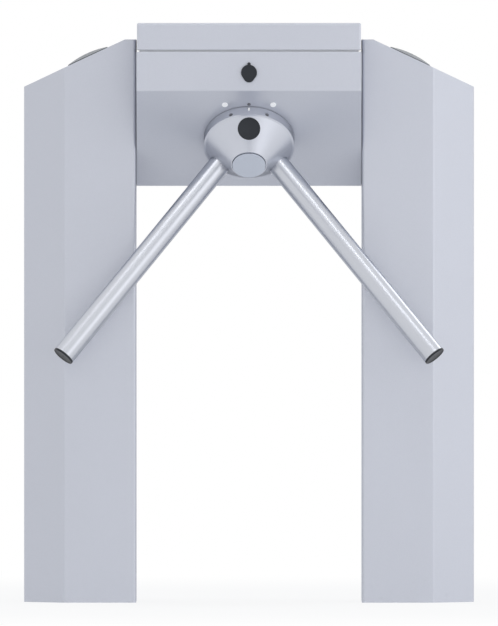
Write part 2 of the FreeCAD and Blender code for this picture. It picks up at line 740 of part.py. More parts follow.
def lid_hinge():
    """Fixed leaf, lid leaf and pin of the right-hand hinge."""
    axis_y = PYLON_BACK + KNUCKLE_STANDOFF + KNUCKLE_R
    axis_z = HOUSING_TOP + SEAM / 2
    left = HINGE_OUT - HINGE_LENGTH / 2
    right = HINGE_OUT + HINGE_LENGTH / 2
    out = Vector(1, 0, 0)
    leaf_back = PYLON_BACK + HINGE_SHEET

    def knuckle(start, end):
        return Part.makeCylinder(KNUCKLE_R, end - start, Vector(start, axis_y, axis_z), out)

    bore = Part.makeCylinder(HINGE_PIN_R + RUN_GAP, HINGE_LENGTH, Vector(left, axis_y, axis_z), out)
    fixed_top = axis_z - KNUCKLE_R - KNUCKLE_GAP
    fixed = block((left, PYLON_BACK, fixed_top - HINGE_LEAF), (right, leaf_back, fixed_top))
    for start in (left, right - KNUCKLE_SHARE):
        end = start + KNUCKLE_SHARE
        neck = block((start, PYLON_BACK + KNUCKLE_STANDOFF, fixed_top), (end, leaf_back, axis_z))
        fixed = fixed.fuse([knuckle(start, end), neck])
    fixed = fixed.removeSplitter().cut(bore)
    moving_low = axis_z + KNUCKLE_R + KNUCKLE_GAP
    moving = block((left, PYLON_BACK, moving_low), (right, leaf_back, moving_low + HINGE_LEAF))
    start = left + KNUCKLE_SHARE + KNUCKLE_GAP
    end = right - KNUCKLE_SHARE - KNUCKLE_GAP
    neck = block((start, PYLON_BACK + KNUCKLE_STANDOFF, axis_z), (end, leaf_back, moving_low))
    moving = moving.fuse([knuckle(start, end), neck]).removeSplitter().cut(bore)
    pin = Part.makeCylinder(HINGE_PIN_R, HINGE_LENGTH, Vector(left, axis_y, axis_z), out)
    return fixed, moving, pin


def lid_lock():
    """Key lock in the front of the housing, its cam, the catch on the lid and the swinging cover."""
    barrel = disc(LOCK_R, -LOCK_DEPTH, 0).fuse(disc(LOCK_HEAD_R, 0, LOCK_HEAD)).removeSplitter()
    barrel = barrel.cut(disc(PLUG_R + RUN_GAP, -LOCK_DEPTH, LOCK_HEAD))
    nut = hexagon(LOCK_NUT_R, -SHEET - LOCK_NUT, -SHEET).cut(disc(LOCK_R, -SHEET - LOCK_NUT, -SHEET))
    face = LOCK_HEAD + PLUG_PROUD
    cam_top = -LOCK_DEPTH - SEAT_GAP
    plug = disc(PLUG_R, cam_top, face)
    half = KEYWAY_WIDTH / 2
    tall = KEYWAY_HEIGHT / 2
    plug = plug.cut(block((-half, -tall, face - KEYWAY_DEPTH), (half, tall, face)))
    cam_low = cam_top - CAM_SHEET
    cam = bar((0, 0), (0, CAM_LENGTH - CAM_R), CAM_R, cam_low, cam_top)
    cam_screw = disc(CAM_SCREW_R, cam_low - CAM_SCREW, cam_low)
    cover_low = face + COVER_ROOM
    cover_top = cover_low + COVER_SHEET
    cover = bar((0, COVER_RISE), (0, COVER_PIVOT), COVER_LUG_R, cover_low, cover_top)
    cover = cover.fuse([taper(cover_low, cover_top)]).removeSplitter()
    cover = cover.cut(disc(COVER_PIN_R + RUN_GAP, cover_low, cover_top, 0, COVER_PIVOT))
    pin = disc(COVER_PIN_R, -SHEET, cover_top + SEAT_GAP, 0, COVER_PIVOT)
    pin = pin.fuse(disc(COVER_PIN_HEAD_R, 0, cover_low - SEAT_GAP, 0, COVER_PIVOT))
    head_low = cover_top + SEAT_GAP
    head = disc(COVER_PIN_HEAD_R, head_low, head_low + COVER_PIN_HEAD, 0, COVER_PIVOT)
    pin = pin.fuse(head).removeSplitter()

    cam_back = HOUSING_FRONT - cam_low
    web = cam_back + CATCH_ROOM
    lip_top = LOCK_Z - CAM_R - CATCH_ROOM
    near = CATCH_NEAR
    far = CATCH_NEAR + CATCH_WIDTH
    tab_low = LID_LOW + SHEET
    catch = block((near, web, lip_top - CATCH_SHEET), (far, web + CATCH_SHEET, tab_low + CATCH_SHEET))
    lip = block((near, cam_back - CAM_SHEET - CATCH_ROOM, lip_top - CATCH_SHEET), (far, web, lip_top))
    tab = block((near, HOUSING_FRONT + SHEET, tab_low), (far, web, tab_low + CATCH_SHEET))
    catch = catch.fuse([lip, tab]).removeSplitter()
    place = Placement(Vector(0, HOUSING_FRONT, LOCK_Z), Rotation(Vector(1, 0, 0), 90))
    pieces = [barrel, nut, plug, Part.makeCompound([cam, cam_screw]), cover, pin]
    return [shape.copy().transformed(place.toMatrix()) for shape in pieces] + [catch]


def taper(low, high):
    """Cover plate: a round upper part that narrows to a smaller round toe."""
    drop = COVER_RISE + COVER_TOE_DROP
    lean = math.asin((COVER_R - COVER_TOE_R) / drop)
    across = math.cos(lean)
    down = math.sin(lean)
    top = Vector(0, COVER_RISE, low)
    toe = Vector(0, -COVER_TOE_DROP, low)
    right = Vector(across, -down, 0)
    left = Vector(-across, -down, 0)
    edges = [
        Part.Arc(top + right * COVER_R, top + Vector(0, COVER_R, 0), top + left * COVER_R),
        Part.LineSegment(top + left * COVER_R, toe + left * COVER_TOE_R),
        Part.Arc(toe + left * COVER_TOE_R, toe - Vector(0, COVER_TOE_R, 0), toe + right * COVER_TOE_R),
        Part.LineSegment(toe + right * COVER_TOE_R, top + right * COVER_R),
    ]
    return Part.Face(Part.Wire([edge.toShape() for edge in edges])).extrude(Vector(0, 0, high - low))


def arm_axis(k):
    """Direction of one arm in the hub frame; the first one lies level when at rest."""
    lean = Vector(0, math.sin(TILT), math.cos(TILT))
    return Rotation(AXIS, k * 360 / ARM_COUNT).multVec(lean)


def along_arm(radius, start, end, k):
    """Round bar on an arm's axis between two distances from the point where the axes meet."""
    axis = arm_axis(k)
    return Part.makeCylinder(radius, end - start, Vector(0, 0, -ARM_APEX) + axis * start, axis)


def on_ring(radius, length, sunk, rise, angle):
    """Bar let radially into the hub's ring, at an angle from the first arm."""
    out = Rotation(AXIS, 90 + angle).multVec(Vector(1, 0, 0))
    start = out * (HUB_R - sunk) + Vector(0, 0, rise)
    return Part.makeCylinder(radius, length, start, out * -1)


def set_screw_angles():
    turns = [k * 360 / ARM_COUNT for k in range(ARM_COUNT)]
    return [angle + side for angle in turns for side in (-SET_SCREW_TURN, SET_SCREW_TURN)]


def hub():
    """Cone hub with three arm seats, its cap, nut, washer, set screws and home mark."""
    body = turned([
        (SHAFT_STUB_R, FLANGE_TOP),
        (SHAFT_FLANGE_R + RUN_GAP, FLANGE_TOP),
        (SHAFT_FLANGE_R + RUN_GAP, HUB_GAP),
        (HUB_R, HUB_GAP),
        (HUB_R, CONE_LOW - HUB_BEVEL),
        (CONE_BASE_R, CONE_LOW),
        (HUB_FRONT_R, HUB_FRONT),
        (CAP_R + CAP_GROOVE, HUB_FRONT),
        (CAP_R + CAP_GROOVE, HUB_FRONT - CAP_THICK),
        (NUT_POCKET_R, HUB_FRONT - CAP_THICK),
        (NUT_POCKET_R, POCKET_FLOOR),
        (SHAFT_STUB_R, POCKET_FLOOR),
    ])
    seat_end = ARM_SEAT + HUB_R * 2
    body = body.cut([along_arm(ARM_R + RUN_GAP, ARM_SEAT, seat_end, k) for k in range(ARM_COUNT)])
    spigot_r = ARM_R - ARM_WALL - RUN_GAP
    spigots = [along_arm(spigot_r, ARM_SEAT, ARM_SEAT + SPIGOT_LENGTH, k) for k in range(ARM_COUNT)]
    body = body.fuse(spigots)
    screws = [
        on_ring(SET_SCREW_R, SET_SCREW_LENGTH, SET_SCREW_SUNK, SET_SCREW_RISE, angle)
        for angle in set_screw_angles()
    ]
    holes = [
        on_ring(SET_SCREW_R, SET_SCREW_LENGTH + SET_SCREW_SUNK, 0, SET_SCREW_RISE, angle)
        for angle in set_screw_angles()
    ]
    half = MARK_WIDTH / 2
    mark = block((-half, HUB_R - MARK_DEPTH, MARK_RISE), (half, HUB_R, MARK_RISE + MARK_LENGTH))
    mark = mark.common(disc(HUB_R, HUB_GAP, CONE_LOW))
    body = body.cut(holes + [mark])
    cap = disc(CAP_R, 0, CAP_THICK + CAP_PROUD)
    cap = cap.makeFillet(CAP_EDGE, top_edges(cap, CAP_THICK + CAP_PROUD))
    cap = at(cap, AXIS * (HUB_FRONT - CAP_THICK))
    nut_low = POCKET_FLOOR + HUB_WASHER
    nut = hexagon(HUB_NUT_R, nut_low, nut_low + HUB_NUT).cut(disc(SHAFT_STUB_R, nut_low, nut_low + HUB_NUT))
    washer = ring(HUB_WASHER_R, SHAFT_STUB_R, POCKET_FLOOR, nut_low)
    return body, cap, [nut, washer], screws, mark


def arm(k):
    """Tube of one arm and the cap in its outer end."""
    tube_end = ARM_REACH - END_CAP
    bore_r = ARM_R - ARM_WALL
    tube = along_arm(ARM_R, ARM_SEAT, tube_end, k).cut(along_arm(bore_r, ARM_SEAT, tube_end, k))
    cap = disc(ARM_R + END_CAP_LAP, 0, END_CAP)
    cap = cap.makeFillet(END_CAP_EDGE, top_edges(cap, END_CAP))
    cap = cap.cut(disc(ARM_R + END_CAP_LAP - END_CAP_RIM, END_CAP - END_CAP_DISH, END_CAP))
    cap = cap.fuse(disc(bore_r - RUN_GAP, -END_PLUG, 0)).removeSplitter()
    axis = arm_axis(k)
    return tube, at(cap, Vector(0, 0, -ARM_APEX) + axis * tube_end, axis)


def main_shaft():
    """Shaft with the hub flange and threaded stub in front and the wheel, gear and disc behind."""
    stub_end = POCKET_FLOOR + HUB_WASHER + HUB_NUT
    collar_low = BODY_FRONT - BEARING_SUNK
    return turned([
        (0, NUT_BACK - SHAFT_TAIL),
        (SHAFT_R, NUT_BACK - SHAFT_TAIL),
        (SHAFT_R, collar_low),
        (SHAFT_COLLAR_R, collar_low),
        (SHAFT_COLLAR_R, HUB_GAP),
        (SHAFT_FLANGE_R, HUB_GAP),
        (SHAFT_FLANGE_R, FLANGE_TOP),
        (SHAFT_STUB_R, FLANGE_TOP),
        (SHAFT_STUB_R, stub_end),
        (0, stub_end),
    ])


def bearing(low):
    """Outer race, inner race and balls of one ball bearing."""
    high = low + BEARING_WIDTH
    middle = low + BEARING_WIDTH / 2
    track_r = (SHAFT_R + BEARING_R) / 2
    track = Part.makeTorus(track_r, BALL_R + BALL_GAP, Vector(0, 0, middle))
    outer = ring(BEARING_R, BEARING_R - RACE, low, high).cut(track)
    inner = ring(SHAFT_R + RACE, SHAFT_R, low, high).cut(track)
    ball = Part.makeSphere(BALL_R, Vector(track_r, 0, middle))
    return outer, inner, [turn(ball, k * 360 / BALL_COUNT) for k in range(BALL_COUNT)]


def bearing_body():
    """Flanged housing of the two bearings, and the screws that hold it to the mechanism plate."""
    flange_back = PLATE_BACK - BODY_FLANGE
    body = turned([
        (BEARING_R, BODY_FRONT),
        (SPIGOT_R - RUN_GAP, BODY_FRONT),
        (SPIGOT_R - RUN_GAP, PLATE_BACK),
        (BODY_FLANGE_R, PLATE_BACK),
        (BODY_FLANGE_R, flange_back),
        (BEARING_BODY_R, flange_back),
        (BEARING_BODY_R, BODY_BACK),
        (BEARING_R, BODY_BACK),
        (BEARING_R, BODY_BACK + BEARING_WIDTH),
        (BEARING_BORE_R, BODY_BACK + BEARING_WIDTH),
        (BEARING_BORE_R, FRONT_BEARING),
        (BEARING_R, FRONT_BEARING),
    ])
    holes = []
    screws = []
    fastener = disc(BODY_SCREW_R, 0, BODY_FLANGE + BODY_SCREW_BITE).fuse(disc(BODY_HEAD_R, -BODY_HEAD, 0))
    fastener = fastener.removeSplitter().cut(hexagon(BODY_SCREW_R, -BODY_HEAD, -BODY_HEAD / 2))
    for k in range(BODY_SCREW_COUNT):
        angle = math.radians((k + 0.5) * 360 / BODY_SCREW_COUNT)
        place = Vector(BODY_SCREW_RING * math.cos(angle), BODY_SCREW_RING * math.sin(angle), flange_back)
        holes.append(at(disc(BODY_SCREW_R, 0, BODY_FLANGE + BODY_SCREW_BITE), place))
        screws.append(at(fastener, place))
    return body.cut(holes), holes, screws


def spacer_places():
    """Places in the hub frame of the spacers that carry the motor bracket."""
    return [
        (side * out, -MOTOR_DOWN - down) for out, down in (LOWER_SPACER, UPPER_SPACER) for side in (-1, 1)
    ]


def solenoid_top():
    """Height in the hub frame of the solenoids, below the released pawl's tail."""
    return -PAWL_DOWN - PAWL_TAIL * math.sin(math.radians(PAWL_SWING)) - SOLENOID_DROP


def mechanism_plate(body_holes):
    """Plate behind the sloping panel with the two tabs that carry the solenoids, and its screws."""
    plate = block((-PLATE_HALF, -PLATE_LOW, PLATE_BACK), (PLATE_HALF, PLATE_HIGH, -SHEET))
    tab_top = solenoid_top() - SOLENOID_HIGH
    half = SOLENOID_SIDE / 2
    tail = PAWL_OUT + PAWL_TAIL
    tab_back = (WHEEL_FRONT + WHEEL_BACK) / 2 - half
    tab = block((tail - half, tab_top - TAB, tab_back), (tail + half, tab_top, PLATE_BACK))
    plate = plate.fuse([tab, mirrored(tab)])
    holes = [disc(SPIGOT_R, PLATE_BACK, -SHEET)] + body_holes
    holes += [disc(PLATE_SCREW_R, PLATE_BACK, -SHEET, x, y) for x, y in plate_screw_places()]
    holes.append(disc(LOCATOR_R, PLATE_BACK, -SHEET, 0, LOCATOR_UP))
    plate = plate.cut(holes)
    fastener = disc(PLATE_HEAD_R, 0, PLATE_HEAD).fuse(disc(PLATE_SCREW_R, PLATE_BACK, 0)).removeSplitter()
    cover_r = PLATE_HEAD_R + RUN_GAP + COVER_CAP_WALL
    cover_top = PLATE_HEAD + RUN_GAP + COVER_CAP_WALL
    cover = disc(cover_r, 0, cover_top)
    cover = cover.makeFillet(COVER_CAP_WALL, top_edges(cover, cover_top))
    cover = cover.cut(disc(PLATE_HEAD_R + RUN_GAP, 0, PLATE_HEAD + RUN_GAP))
    places = [Vector(x, y, 0) for x, y in plate_screw_places()]
    locator = disc(LOCATOR_R, PLATE_BACK, LOCATOR_PROUD, 0, LOCATOR_UP)
    locator = locator.cut(at(hexagon(LOCATOR_R * SOCKET_SHARE, 0, LOCATOR_PROUD), Vector(0, LOCATOR_UP, 0)))
    return plate, [at(fastener, place) for place in places], [at(cover, place) for place in places], locator


def lock_wheel():
    """Notched wheel on the main shaft."""
    wheel = disc(WHEEL_R, WHEEL_BACK, WHEEL_FRONT).fuse(disc(SHAFT_COLLAR_R, WHEEL_FRONT, BODY_BACK))
    wheel = wheel.removeSplitter().cut(disc(SHAFT_R, WHEEL_BACK, BODY_BACK))
    half = NOTCH_WIDTH / 2
    notch = block((WHEEL_R - NOTCH_DEPTH, -half, WHEEL_BACK), (WHEEL_R * 2, half, WHEEL_FRONT))
    return wheel.cut([turn(notch, NOTCH_TURN + k * 360 / NOTCH_COUNT) for k in range(NOTCH_COUNT)])


def pawl():
    """Right-hand pawl in its released place, its post, solenoid and plunger."""
    pivot = (PAWL_OUT, -PAWL_DOWN)
    out = math.radians(NOTCH_TURN)

    def on_notch(radius):
        return (radius * math.cos(out), radius * math.sin(out))

    nose = on_notch(WHEEL_R - PAWL_BITE + PAWL_NOSE_R)
    elbow = on_notch(WHEEL_R + PAWL_ELBOW)
    tail = (PAWL_OUT + PAWL_TAIL, -PAWL_DOWN)
    lever = bar(nose, elbow, PAWL_NOSE_R, WHEEL_BACK, WHEEL_FRONT)
    lever = lever.fuse([
        bar(elbow, pivot, PAWL_NOSE_R, WHEEL_BACK, WHEEL_FRONT),
        bar(pivot, tail, PAWL_TAIL_R, WHEEL_BACK, WHEEL_FRONT),
        disc(PAWL_HUB_R, WHEEL_BACK, WHEEL_FRONT, *pivot),
    ]).removeSplitter()
    lever = lever.cut(disc(POST_R + RUN_GAP, WHEEL_BACK, WHEEL_FRONT, *pivot))
    centre = Vector(pivot[0], pivot[1], 0)
    lever.rotate(centre, AXIS, -PAWL_SWING)

    collar_low = WHEEL_FRONT + SEAT_GAP
    head_top = WHEEL_BACK - SEAT_GAP
    post = disc(POST_R, head_top - POST_HEAD, PLATE_BACK, *pivot)
    post = post.fuse([
        disc(POST_COLLAR_R, collar_low, collar_low + POST_COLLAR, *pivot),
        disc(POST_COLLAR_R, head_top - POST_HEAD, head_top, *pivot),
    ]).removeSplitter()

    middle = (WHEEL_FRONT + WHEEL_BACK) / 2
    half = SOLENOID_SIDE / 2
    top = solenoid_top()
    low = top - SOLENOID_HIGH
    yoke = block((tail[0] - half, low, middle - half), (tail[0] + half, top, middle + half))
    side = half - YOKE
    window = (tail[0] - side, low + YOKE, middle - half)
    yoke = yoke.cut(block(window, (tail[0] + side, top - YOKE, middle + half)))
    up = Vector(0, 1, 0)
    coil_foot = Vector(tail[0], low + YOKE, middle)
    coil = Part.makeCylinder(side - COIL_ROOM, SOLENOID_HIGH - YOKE * 2, coil_foot, up)
    bore_end = Vector(tail[0], top - PLUNGER_DEPTH - SEAT_GAP, middle)
    bore = Part.makeCylinder(PLUNGER_R + RUN_GAP, PLUNGER_DEPTH + SEAT_GAP, bore_end, up)
    solenoid = Part.makeCompound([yoke.cut(bore), coil.cut(bore)])
    drop = PAWL_TAIL * math.sin(math.radians(PAWL_SWING))
    pad_top = tail[1] - drop - PAWL_TAIL_R - PLUNGER_GAP
    rod_end = Vector(tail[0], top - PLUNGER_DEPTH, middle)
    plunger = Part.makeCylinder(PLUNGER_R, pad_top - rod_end.y, rod_end, up)
    pad_low = Vector(tail[0], pad_top - PLUNGER_PAD, middle)
    plunger = plunger.fuse(Part.makeCylinder(PLUNGER_PAD_R, PLUNGER_PAD, pad_low, up)).removeSplitter()
    return lever, post, solenoid, plunger


def gear_outline(teeth, first):
    """Involute gear outline with straight steps along each flank; one tooth is centred on an angle."""
    pitch_r = MODULE * teeth / 2
    slant = math.radians(PRESSURE_ANGLE)
    base_r = pitch_r * math.cos(slant)
    root_r = pitch_r - DEDENDUM * MODULE
    tip_r = pitch_r + ADDENDUM * MODULE
    start_r = max(base_r, root_r)
    half_tooth = math.pi / (2 * teeth) - BACKLASH / (2 * pitch_r) + math.tan(slant) - slant
    flank = [(root_r, start_r)] if root_r < start_r else []
    flank += [(radius, radius) for radius in steps(start_r, tip_r)]
    outline = []
    for k in range(teeth):
        middle = math.radians(first) + k * 2 * math.pi / teeth
        for side, radii in ((-1, flank), (1, flank[::-1])):
            for radius, flank_r in radii:
                lean = math.acos(base_r / flank_r)
                angle = middle + side * (half_tooth - math.tan(lean) + lean)
                outline.append((radius * math.cos(angle), radius * math.sin(angle)))
    return outline


def steps(start, end):
    """Evenly spaced radii along a tooth flank."""
    return [start + (end - start) * k / FLANK_STEPS for k in range(FLANK_STEPS + 1)]


def drive():
    """Gear on the main shaft, motor pinion, motor, its bracket and the bracket's spacers."""
    gear = prism("z", gear_outline(GEAR_TEETH, -90.0), GEAR_BACK, GEAR_FRONT)
    gear = gear.fuse(disc(SHAFT_COLLAR_R, GEAR_FRONT, WHEEL_BACK)).cut(disc(SHAFT_R, GEAR_BACK, WHEEL_BACK))
    gap = 90.0 + 180.0 / PINION_TEETH
    teeth = gear_outline(PINION_TEETH, gap)
    pinion = prism("z", teeth, GEAR_BACK - PINION_LONGER, GEAR_FRONT + PINION_LONGER)
    pinion = pinion.fuse(disc(MOTOR_SHAFT_R, BRACKET_BACK, GEAR_BACK - PINION_LONGER))
    motor_place = Vector(0, -MOTOR_DOWN, 0)
    pinion = at(pinion, motor_place)
    motor = disc(GEARBOX_R, BRACKET_BACK - GEARBOX, BRACKET_BACK)
    motor = motor.fuse(disc(MOTOR_BOSS_R, BRACKET_BACK, BRACKET_FRONT))
    motor = motor.fuse(disc(MOTOR_R, BRACKET_BACK - GEARBOX - MOTOR, BRACKET_BACK - GEARBOX))
    motor = motor.cut(disc(MOTOR_SHAFT_R + RUN_GAP, BRACKET_BACK - SEAT_GAP, BRACKET_FRONT))
    motor = at(motor, motor_place)
    bracket = block(
        (-BRACKET_HALF, -MOTOR_DOWN - BRACKET_REACH, BRACKET_BACK),
        (BRACKET_HALF, -MOTOR_DOWN + BRACKET_REACH, BRACKET_FRONT),
    )
    bracket = bracket.cut(disc(MOTOR_BOSS_R, BRACKET_BACK, BRACKET_FRONT, 0, -MOTOR_DOWN))
    spacers = [disc(SPACER_R, BRACKET_FRONT, PLATE_BACK, x, y) for x, y in spacer_places()]
    return gear, pinion, motor, bracket, spacers


def encoder():
    """Slotted disc on the main shaft, the fork sensor over its edge and the nut behind it."""
    plate = disc(ENCODER_R, DISC_BACK, DISC_FRONT).fuse(disc(ENCODER_HUB_R, DISC_FRONT, GEAR_BACK))
    plate = plate.removeSplitter().cut(disc(SHAFT_R, DISC_BACK, GEAR_BACK))
    slot_r = ENCODER_R - ENCODER_SLOT_EDGE
    slot = disc(ENCODER_SLOT_R, DISC_BACK, DISC_FRONT, slot_r)
    plate = plate.cut([turn(slot, k * 360 / ENCODER_SLOTS) for k in range(ENCODER_SLOTS)])
    front = DISC_FRONT + FORK_GAP + FORK_WALL
    back = DISC_BACK - FORK_GAP - FORK_WALL
    low = ENCODER_R - FORK_LAP
    fork = block((-FORK_HALF, low, back), (FORK_HALF, FORK_POST_UP + FORK_END, front))
    slit = block((-FORK_HALF, low, back + FORK_WALL), (FORK_HALF, ENCODER_R + FORK_GAP, front - FORK_WALL))
    post = disc(SPACER_R, front, PLATE_BACK, 0, FORK_POST_UP)
    nut = ring(SHAFT_NUT_R, SHAFT_R, NUT_BACK, DISC_BACK)
    return plate, fork.cut(slit), post, nut


def control_board():
    """Circuit board on standoffs at the right of the housing's back wall."""
    right = HOUSING_END - SHEET - BOARD_SIDE
    left = right - BOARD_WIDTH
    low = HOUSING_FLOOR + SHEET + BOARD_RISE
    high = low + BOARD_HEIGHT
    wall = PYLON_BACK - SHEET
    back = wall - BOARD_STANDOFF
    front = back - BOARD
    pieces = [block((left, front, low), (right, back, high))]
    for x in (left + BOARD_INSET, right - BOARD_INSET):
        for z in (low + BOARD_INSET, high - BOARD_INSET):
            foot = Vector(x, back, z)
            pieces.append(Part.makeCylinder(BOARD_STANDOFF_R, BOARD_STANDOFF, foot, Vector(0, 1, 0)))
    middle_x = (left + right) / 2
    middle_z = (low + high) / 2
    chip = (middle_x, front - CHIP_HIGH, middle_z)
    pieces.append(block(chip, (middle_x + CHIP_SIDE, front, middle_z + CHIP_SIDE)))
    half = TERMINAL_LONG / 2
    ledge = low + BOARD_INSET + BOARD_STANDOFF_R
    terminal = (middle_x - half, front - TERMINAL_HIGH, ledge)
    pieces.append(block(terminal, (middle_x + half, front, ledge + TERMINAL_DEEP)))
    relay_left = left + BOARD_INSET * 2
    relay_right = relay_left + RELAY_WIDE
    for k in range(RELAY_COUNT):
        relay_low = ledge + TERMINAL_DEEP * 2 + k * RELAY_PITCH
        pieces.append(
            block((relay_left, front - RELAY_HIGH, relay_low), (relay_right, front, relay_low + RELAY_LONG))
        )
    return Part.makeCompound(pieces)


def power_supply():
    """Supply with a vented top and a terminal strip, on the housing floor at the left of its back wall."""
    left = SHEET - HOUSING_END + SUPPLY_SIDE
    right = left + SUPPLY_LONG
    back = PYLON_BACK - SHEET - SUPPLY_BACK
    front = back - SUPPLY_DEEP
    low = HOUSING_FLOOR + SHEET
    high = low + SUPPLY_HIGH
    shelf = low + SHELF_HIGH
    case = block((left, front, low), (right, back, high))
    case = case.cut(block((left, front, shelf), (left + SHELF_DEEP, back, high)))
    pitch = (SUPPLY_LONG - SHELF_DEEP - VENT_MARGIN * 2 - VENT_WIDTH) / (VENT_COUNT - 1)
    for k in range(VENT_COUNT):
        x = left + SHELF_DEEP + VENT_MARGIN + k * pitch
        vent = (x, front + VENT_MARGIN, high - VENT_DEPTH)
        case = case.cut(block(vent, (x + VENT_WIDTH, back - VENT_MARGIN, high)))
    strip_end = left + SHELF_DEEP - STRIP_GAP
    strip = block((left, front + STRIP_END, shelf), (strip_end, back - STRIP_END, shelf + STRIP_HIGH))
    return Part.makeCompound([case, strip])


def build():
    """Every node of the turnstile by name."""
    nodes = {}
    shell, plate, panel, panel_screws = pylon()
    nodes["right_pylon"] = shell
    nodes["left_pylon"] = mirrored(shell)
    nodes["base_plates"] = pair(plate)
    nodes["right_service_panel"] = panel
    nodes["left_service_panel"] = mirrored(panel)
    nodes["panel_screws"] = pair(Part.makeCompound(panel_screws))

    lens, gasket, board, reader = indicator()
    nodes["lenses"] = pair(lens)
    nodes["lens_gaskets"] = pair(gasket)
    nodes["lamp_boards"] = pair(board)
    nodes["card_readers"] = pair(reader)

    nodes["housing"] = housing()
    gasket, bolts, nuts, grommet = bridge_joint()
    nodes["joint_gaskets"] = pair(gasket)
    nodes["bridge_bolts"] = pair(Part.makeCompound(bolts + nuts))
    nodes["cable_grommets"] = pair(grommet)

    nodes["lid"], nodes["lid_seal"] = lid()
    fixed, moving, pin = lid_hinge()
    nodes["hinge_fixed_leaves"] = pair(fixed)
    nodes["hinge_lid_leaves"] = pair(moving)
    nodes["hinge_pins"] = pair(pin)

    names = ("lock_barrel", "lock_nut", "lock_plug", "lock_cam", "lock_cover", "lock_cover_pin", "lid_catch")
    nodes.update(zip(names, lid_lock()))

    hub_nodes = {}
    hub_nodes["hub"], hub_nodes["hub_cap"], nut, set_screws, hub_nodes["home_mark"] = hub()
    hub_nodes["hub_nut"] = Part.makeCompound(nut)
    hub_nodes["hub_set_screws"] = Part.makeCompound(set_screws)
    caps = []
    for k in range(ARM_COUNT):
        hub_nodes[f"arm_{k + 1}"], cap = arm(k)
        caps.append(cap)
    hub_nodes["arm_end_caps"] = Part.makeCompound(caps)
    hub_nodes["main_shaft"] = main_shaft()

    front = bearing(FRONT_BEARING)
    rear = bearing(BODY_BACK)
    hub_nodes["bearing_outer_races"] = Part.makeCompound([front[0], rear[0]])
    hub_nodes["bearing_inner_races"] = Part.makeCompound([front[1], rear[1]] + front[2] + rear[2])
    hub_nodes["bearing_body"], body_holes, body_screws = bearing_body()
    hub_nodes["bearing_body_screws"] = Part.makeCompound(body_screws)

    plate, plate_screws, covers, hub_nodes["locating_screw"] = mechanism_plate(body_holes)
    hub_nodes["mechanism_plate"] = plate
    hub_nodes["mechanism_screws"] = Part.makeCompound(plate_screws)
    hub_nodes["screw_covers"] = Part.makeCompound(covers)

    hub_nodes["lock_wheel"] = lock_wheel()
    lever, post, solenoid, plunger = pawl()
    hub_nodes["right_pawl"] = lever
    hub_nodes["left_pawl"] = mirrored(lever)
    hub_nodes["pawl_posts"] = pair(post)
    hub_nodes["solenoids"] = pair(solenoid)
    hub_nodes["right_plunger"] = plunger
    hub_nodes["left_plunger"] = mirrored(plunger)

    gear, pinion, motor, bracket, spacers = drive()
    hub_nodes["drive_gear"] = gear
    hub_nodes["motor_pinion"] = pinion
    hub_nodes["drive_motor"] = motor
    hub_nodes["encoder_disc"], hub_nodes["fork_sensor"], fork_post, hub_nodes["shaft_nut"] = encoder()
    hub_nodes["motor_bracket"] = Part.makeCompound([bracket, fork_post] + spacers)
    nodes.update({name: in_hub_frame(shape) for name, shape in hub_nodes.items()})

    nodes["control_board"] = control_board()
    nodes["power_supply"] = power_supply()
    return nodes


os.makedirs("parts", exist_ok=True)
for name, shape in build().items():
    shape.exportStep(f"parts/{name}.step")
    print(f"{name}: {len(shape.Solids)} solids, {shape.Volume / 1000:.2f} cm3, valid {shape.isValid()}")
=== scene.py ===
# %% [markdown]
# # Dressing a tripod turnstile
# A tripod turnstile is a waist-high gate. Two folded pylons carry a bridge housing, and a tilted hub on
# its front turns three steel arms, so that one person passes at a time. The solids come ready from the
# CAD frame, so this lesson adds the camera, the light, the finishes and the moulded details.

import json
import math

import bmesh
import bpy
from mathutils import Color, Matrix, Vector


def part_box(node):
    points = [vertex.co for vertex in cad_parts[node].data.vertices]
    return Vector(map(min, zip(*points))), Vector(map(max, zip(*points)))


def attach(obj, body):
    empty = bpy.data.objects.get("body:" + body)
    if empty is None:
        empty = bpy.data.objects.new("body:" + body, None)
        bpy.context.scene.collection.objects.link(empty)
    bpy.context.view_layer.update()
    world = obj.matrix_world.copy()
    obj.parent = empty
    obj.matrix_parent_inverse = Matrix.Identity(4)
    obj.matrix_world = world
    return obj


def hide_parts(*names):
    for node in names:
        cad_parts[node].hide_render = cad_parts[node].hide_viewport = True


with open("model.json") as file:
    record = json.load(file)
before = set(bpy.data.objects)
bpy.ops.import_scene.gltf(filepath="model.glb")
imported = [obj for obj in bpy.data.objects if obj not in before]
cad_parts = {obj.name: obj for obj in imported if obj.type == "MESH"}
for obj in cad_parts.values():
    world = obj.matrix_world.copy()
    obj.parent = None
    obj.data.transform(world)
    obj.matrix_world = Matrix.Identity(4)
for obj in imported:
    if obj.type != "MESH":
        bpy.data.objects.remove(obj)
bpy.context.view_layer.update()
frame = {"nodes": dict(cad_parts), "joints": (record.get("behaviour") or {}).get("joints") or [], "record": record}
scene = bpy.context.scene
scene.view_settings.view_transform = "Standard"

# %% [markdown]
# ## Where the hub and the arms are
# The hub turns about an axis that leans 45 degrees down and forward. The frame's joints already hold
# that axis, so the places of the hub and of the three arms are worked out from them and not typed
# again. Each place is a matrix whose own z axis runs out along the hub or along one arm.

# %% Hub and arm places
MM = 0.001
ARM_APEX = 24 * MM  # the arm axes meet this far behind the sloping panel
ARM_LEAN = math.radians(45)
ARM_COUNT = 3
joints = {joint["name"]: joint for joint in frame["joints"]}
hub_centre = Vector(joints["tripod_spin"]["pos_m"])
hub_axis = Vector(joints["tripod_spin"]["axis"])


def standing(point, axis):
    """Matrix at a point with its z axis along a direction."""
    return Matrix.Translation(point) @ Vector(axis).to_track_quat("Z", "Y").to_matrix().to_4x4()


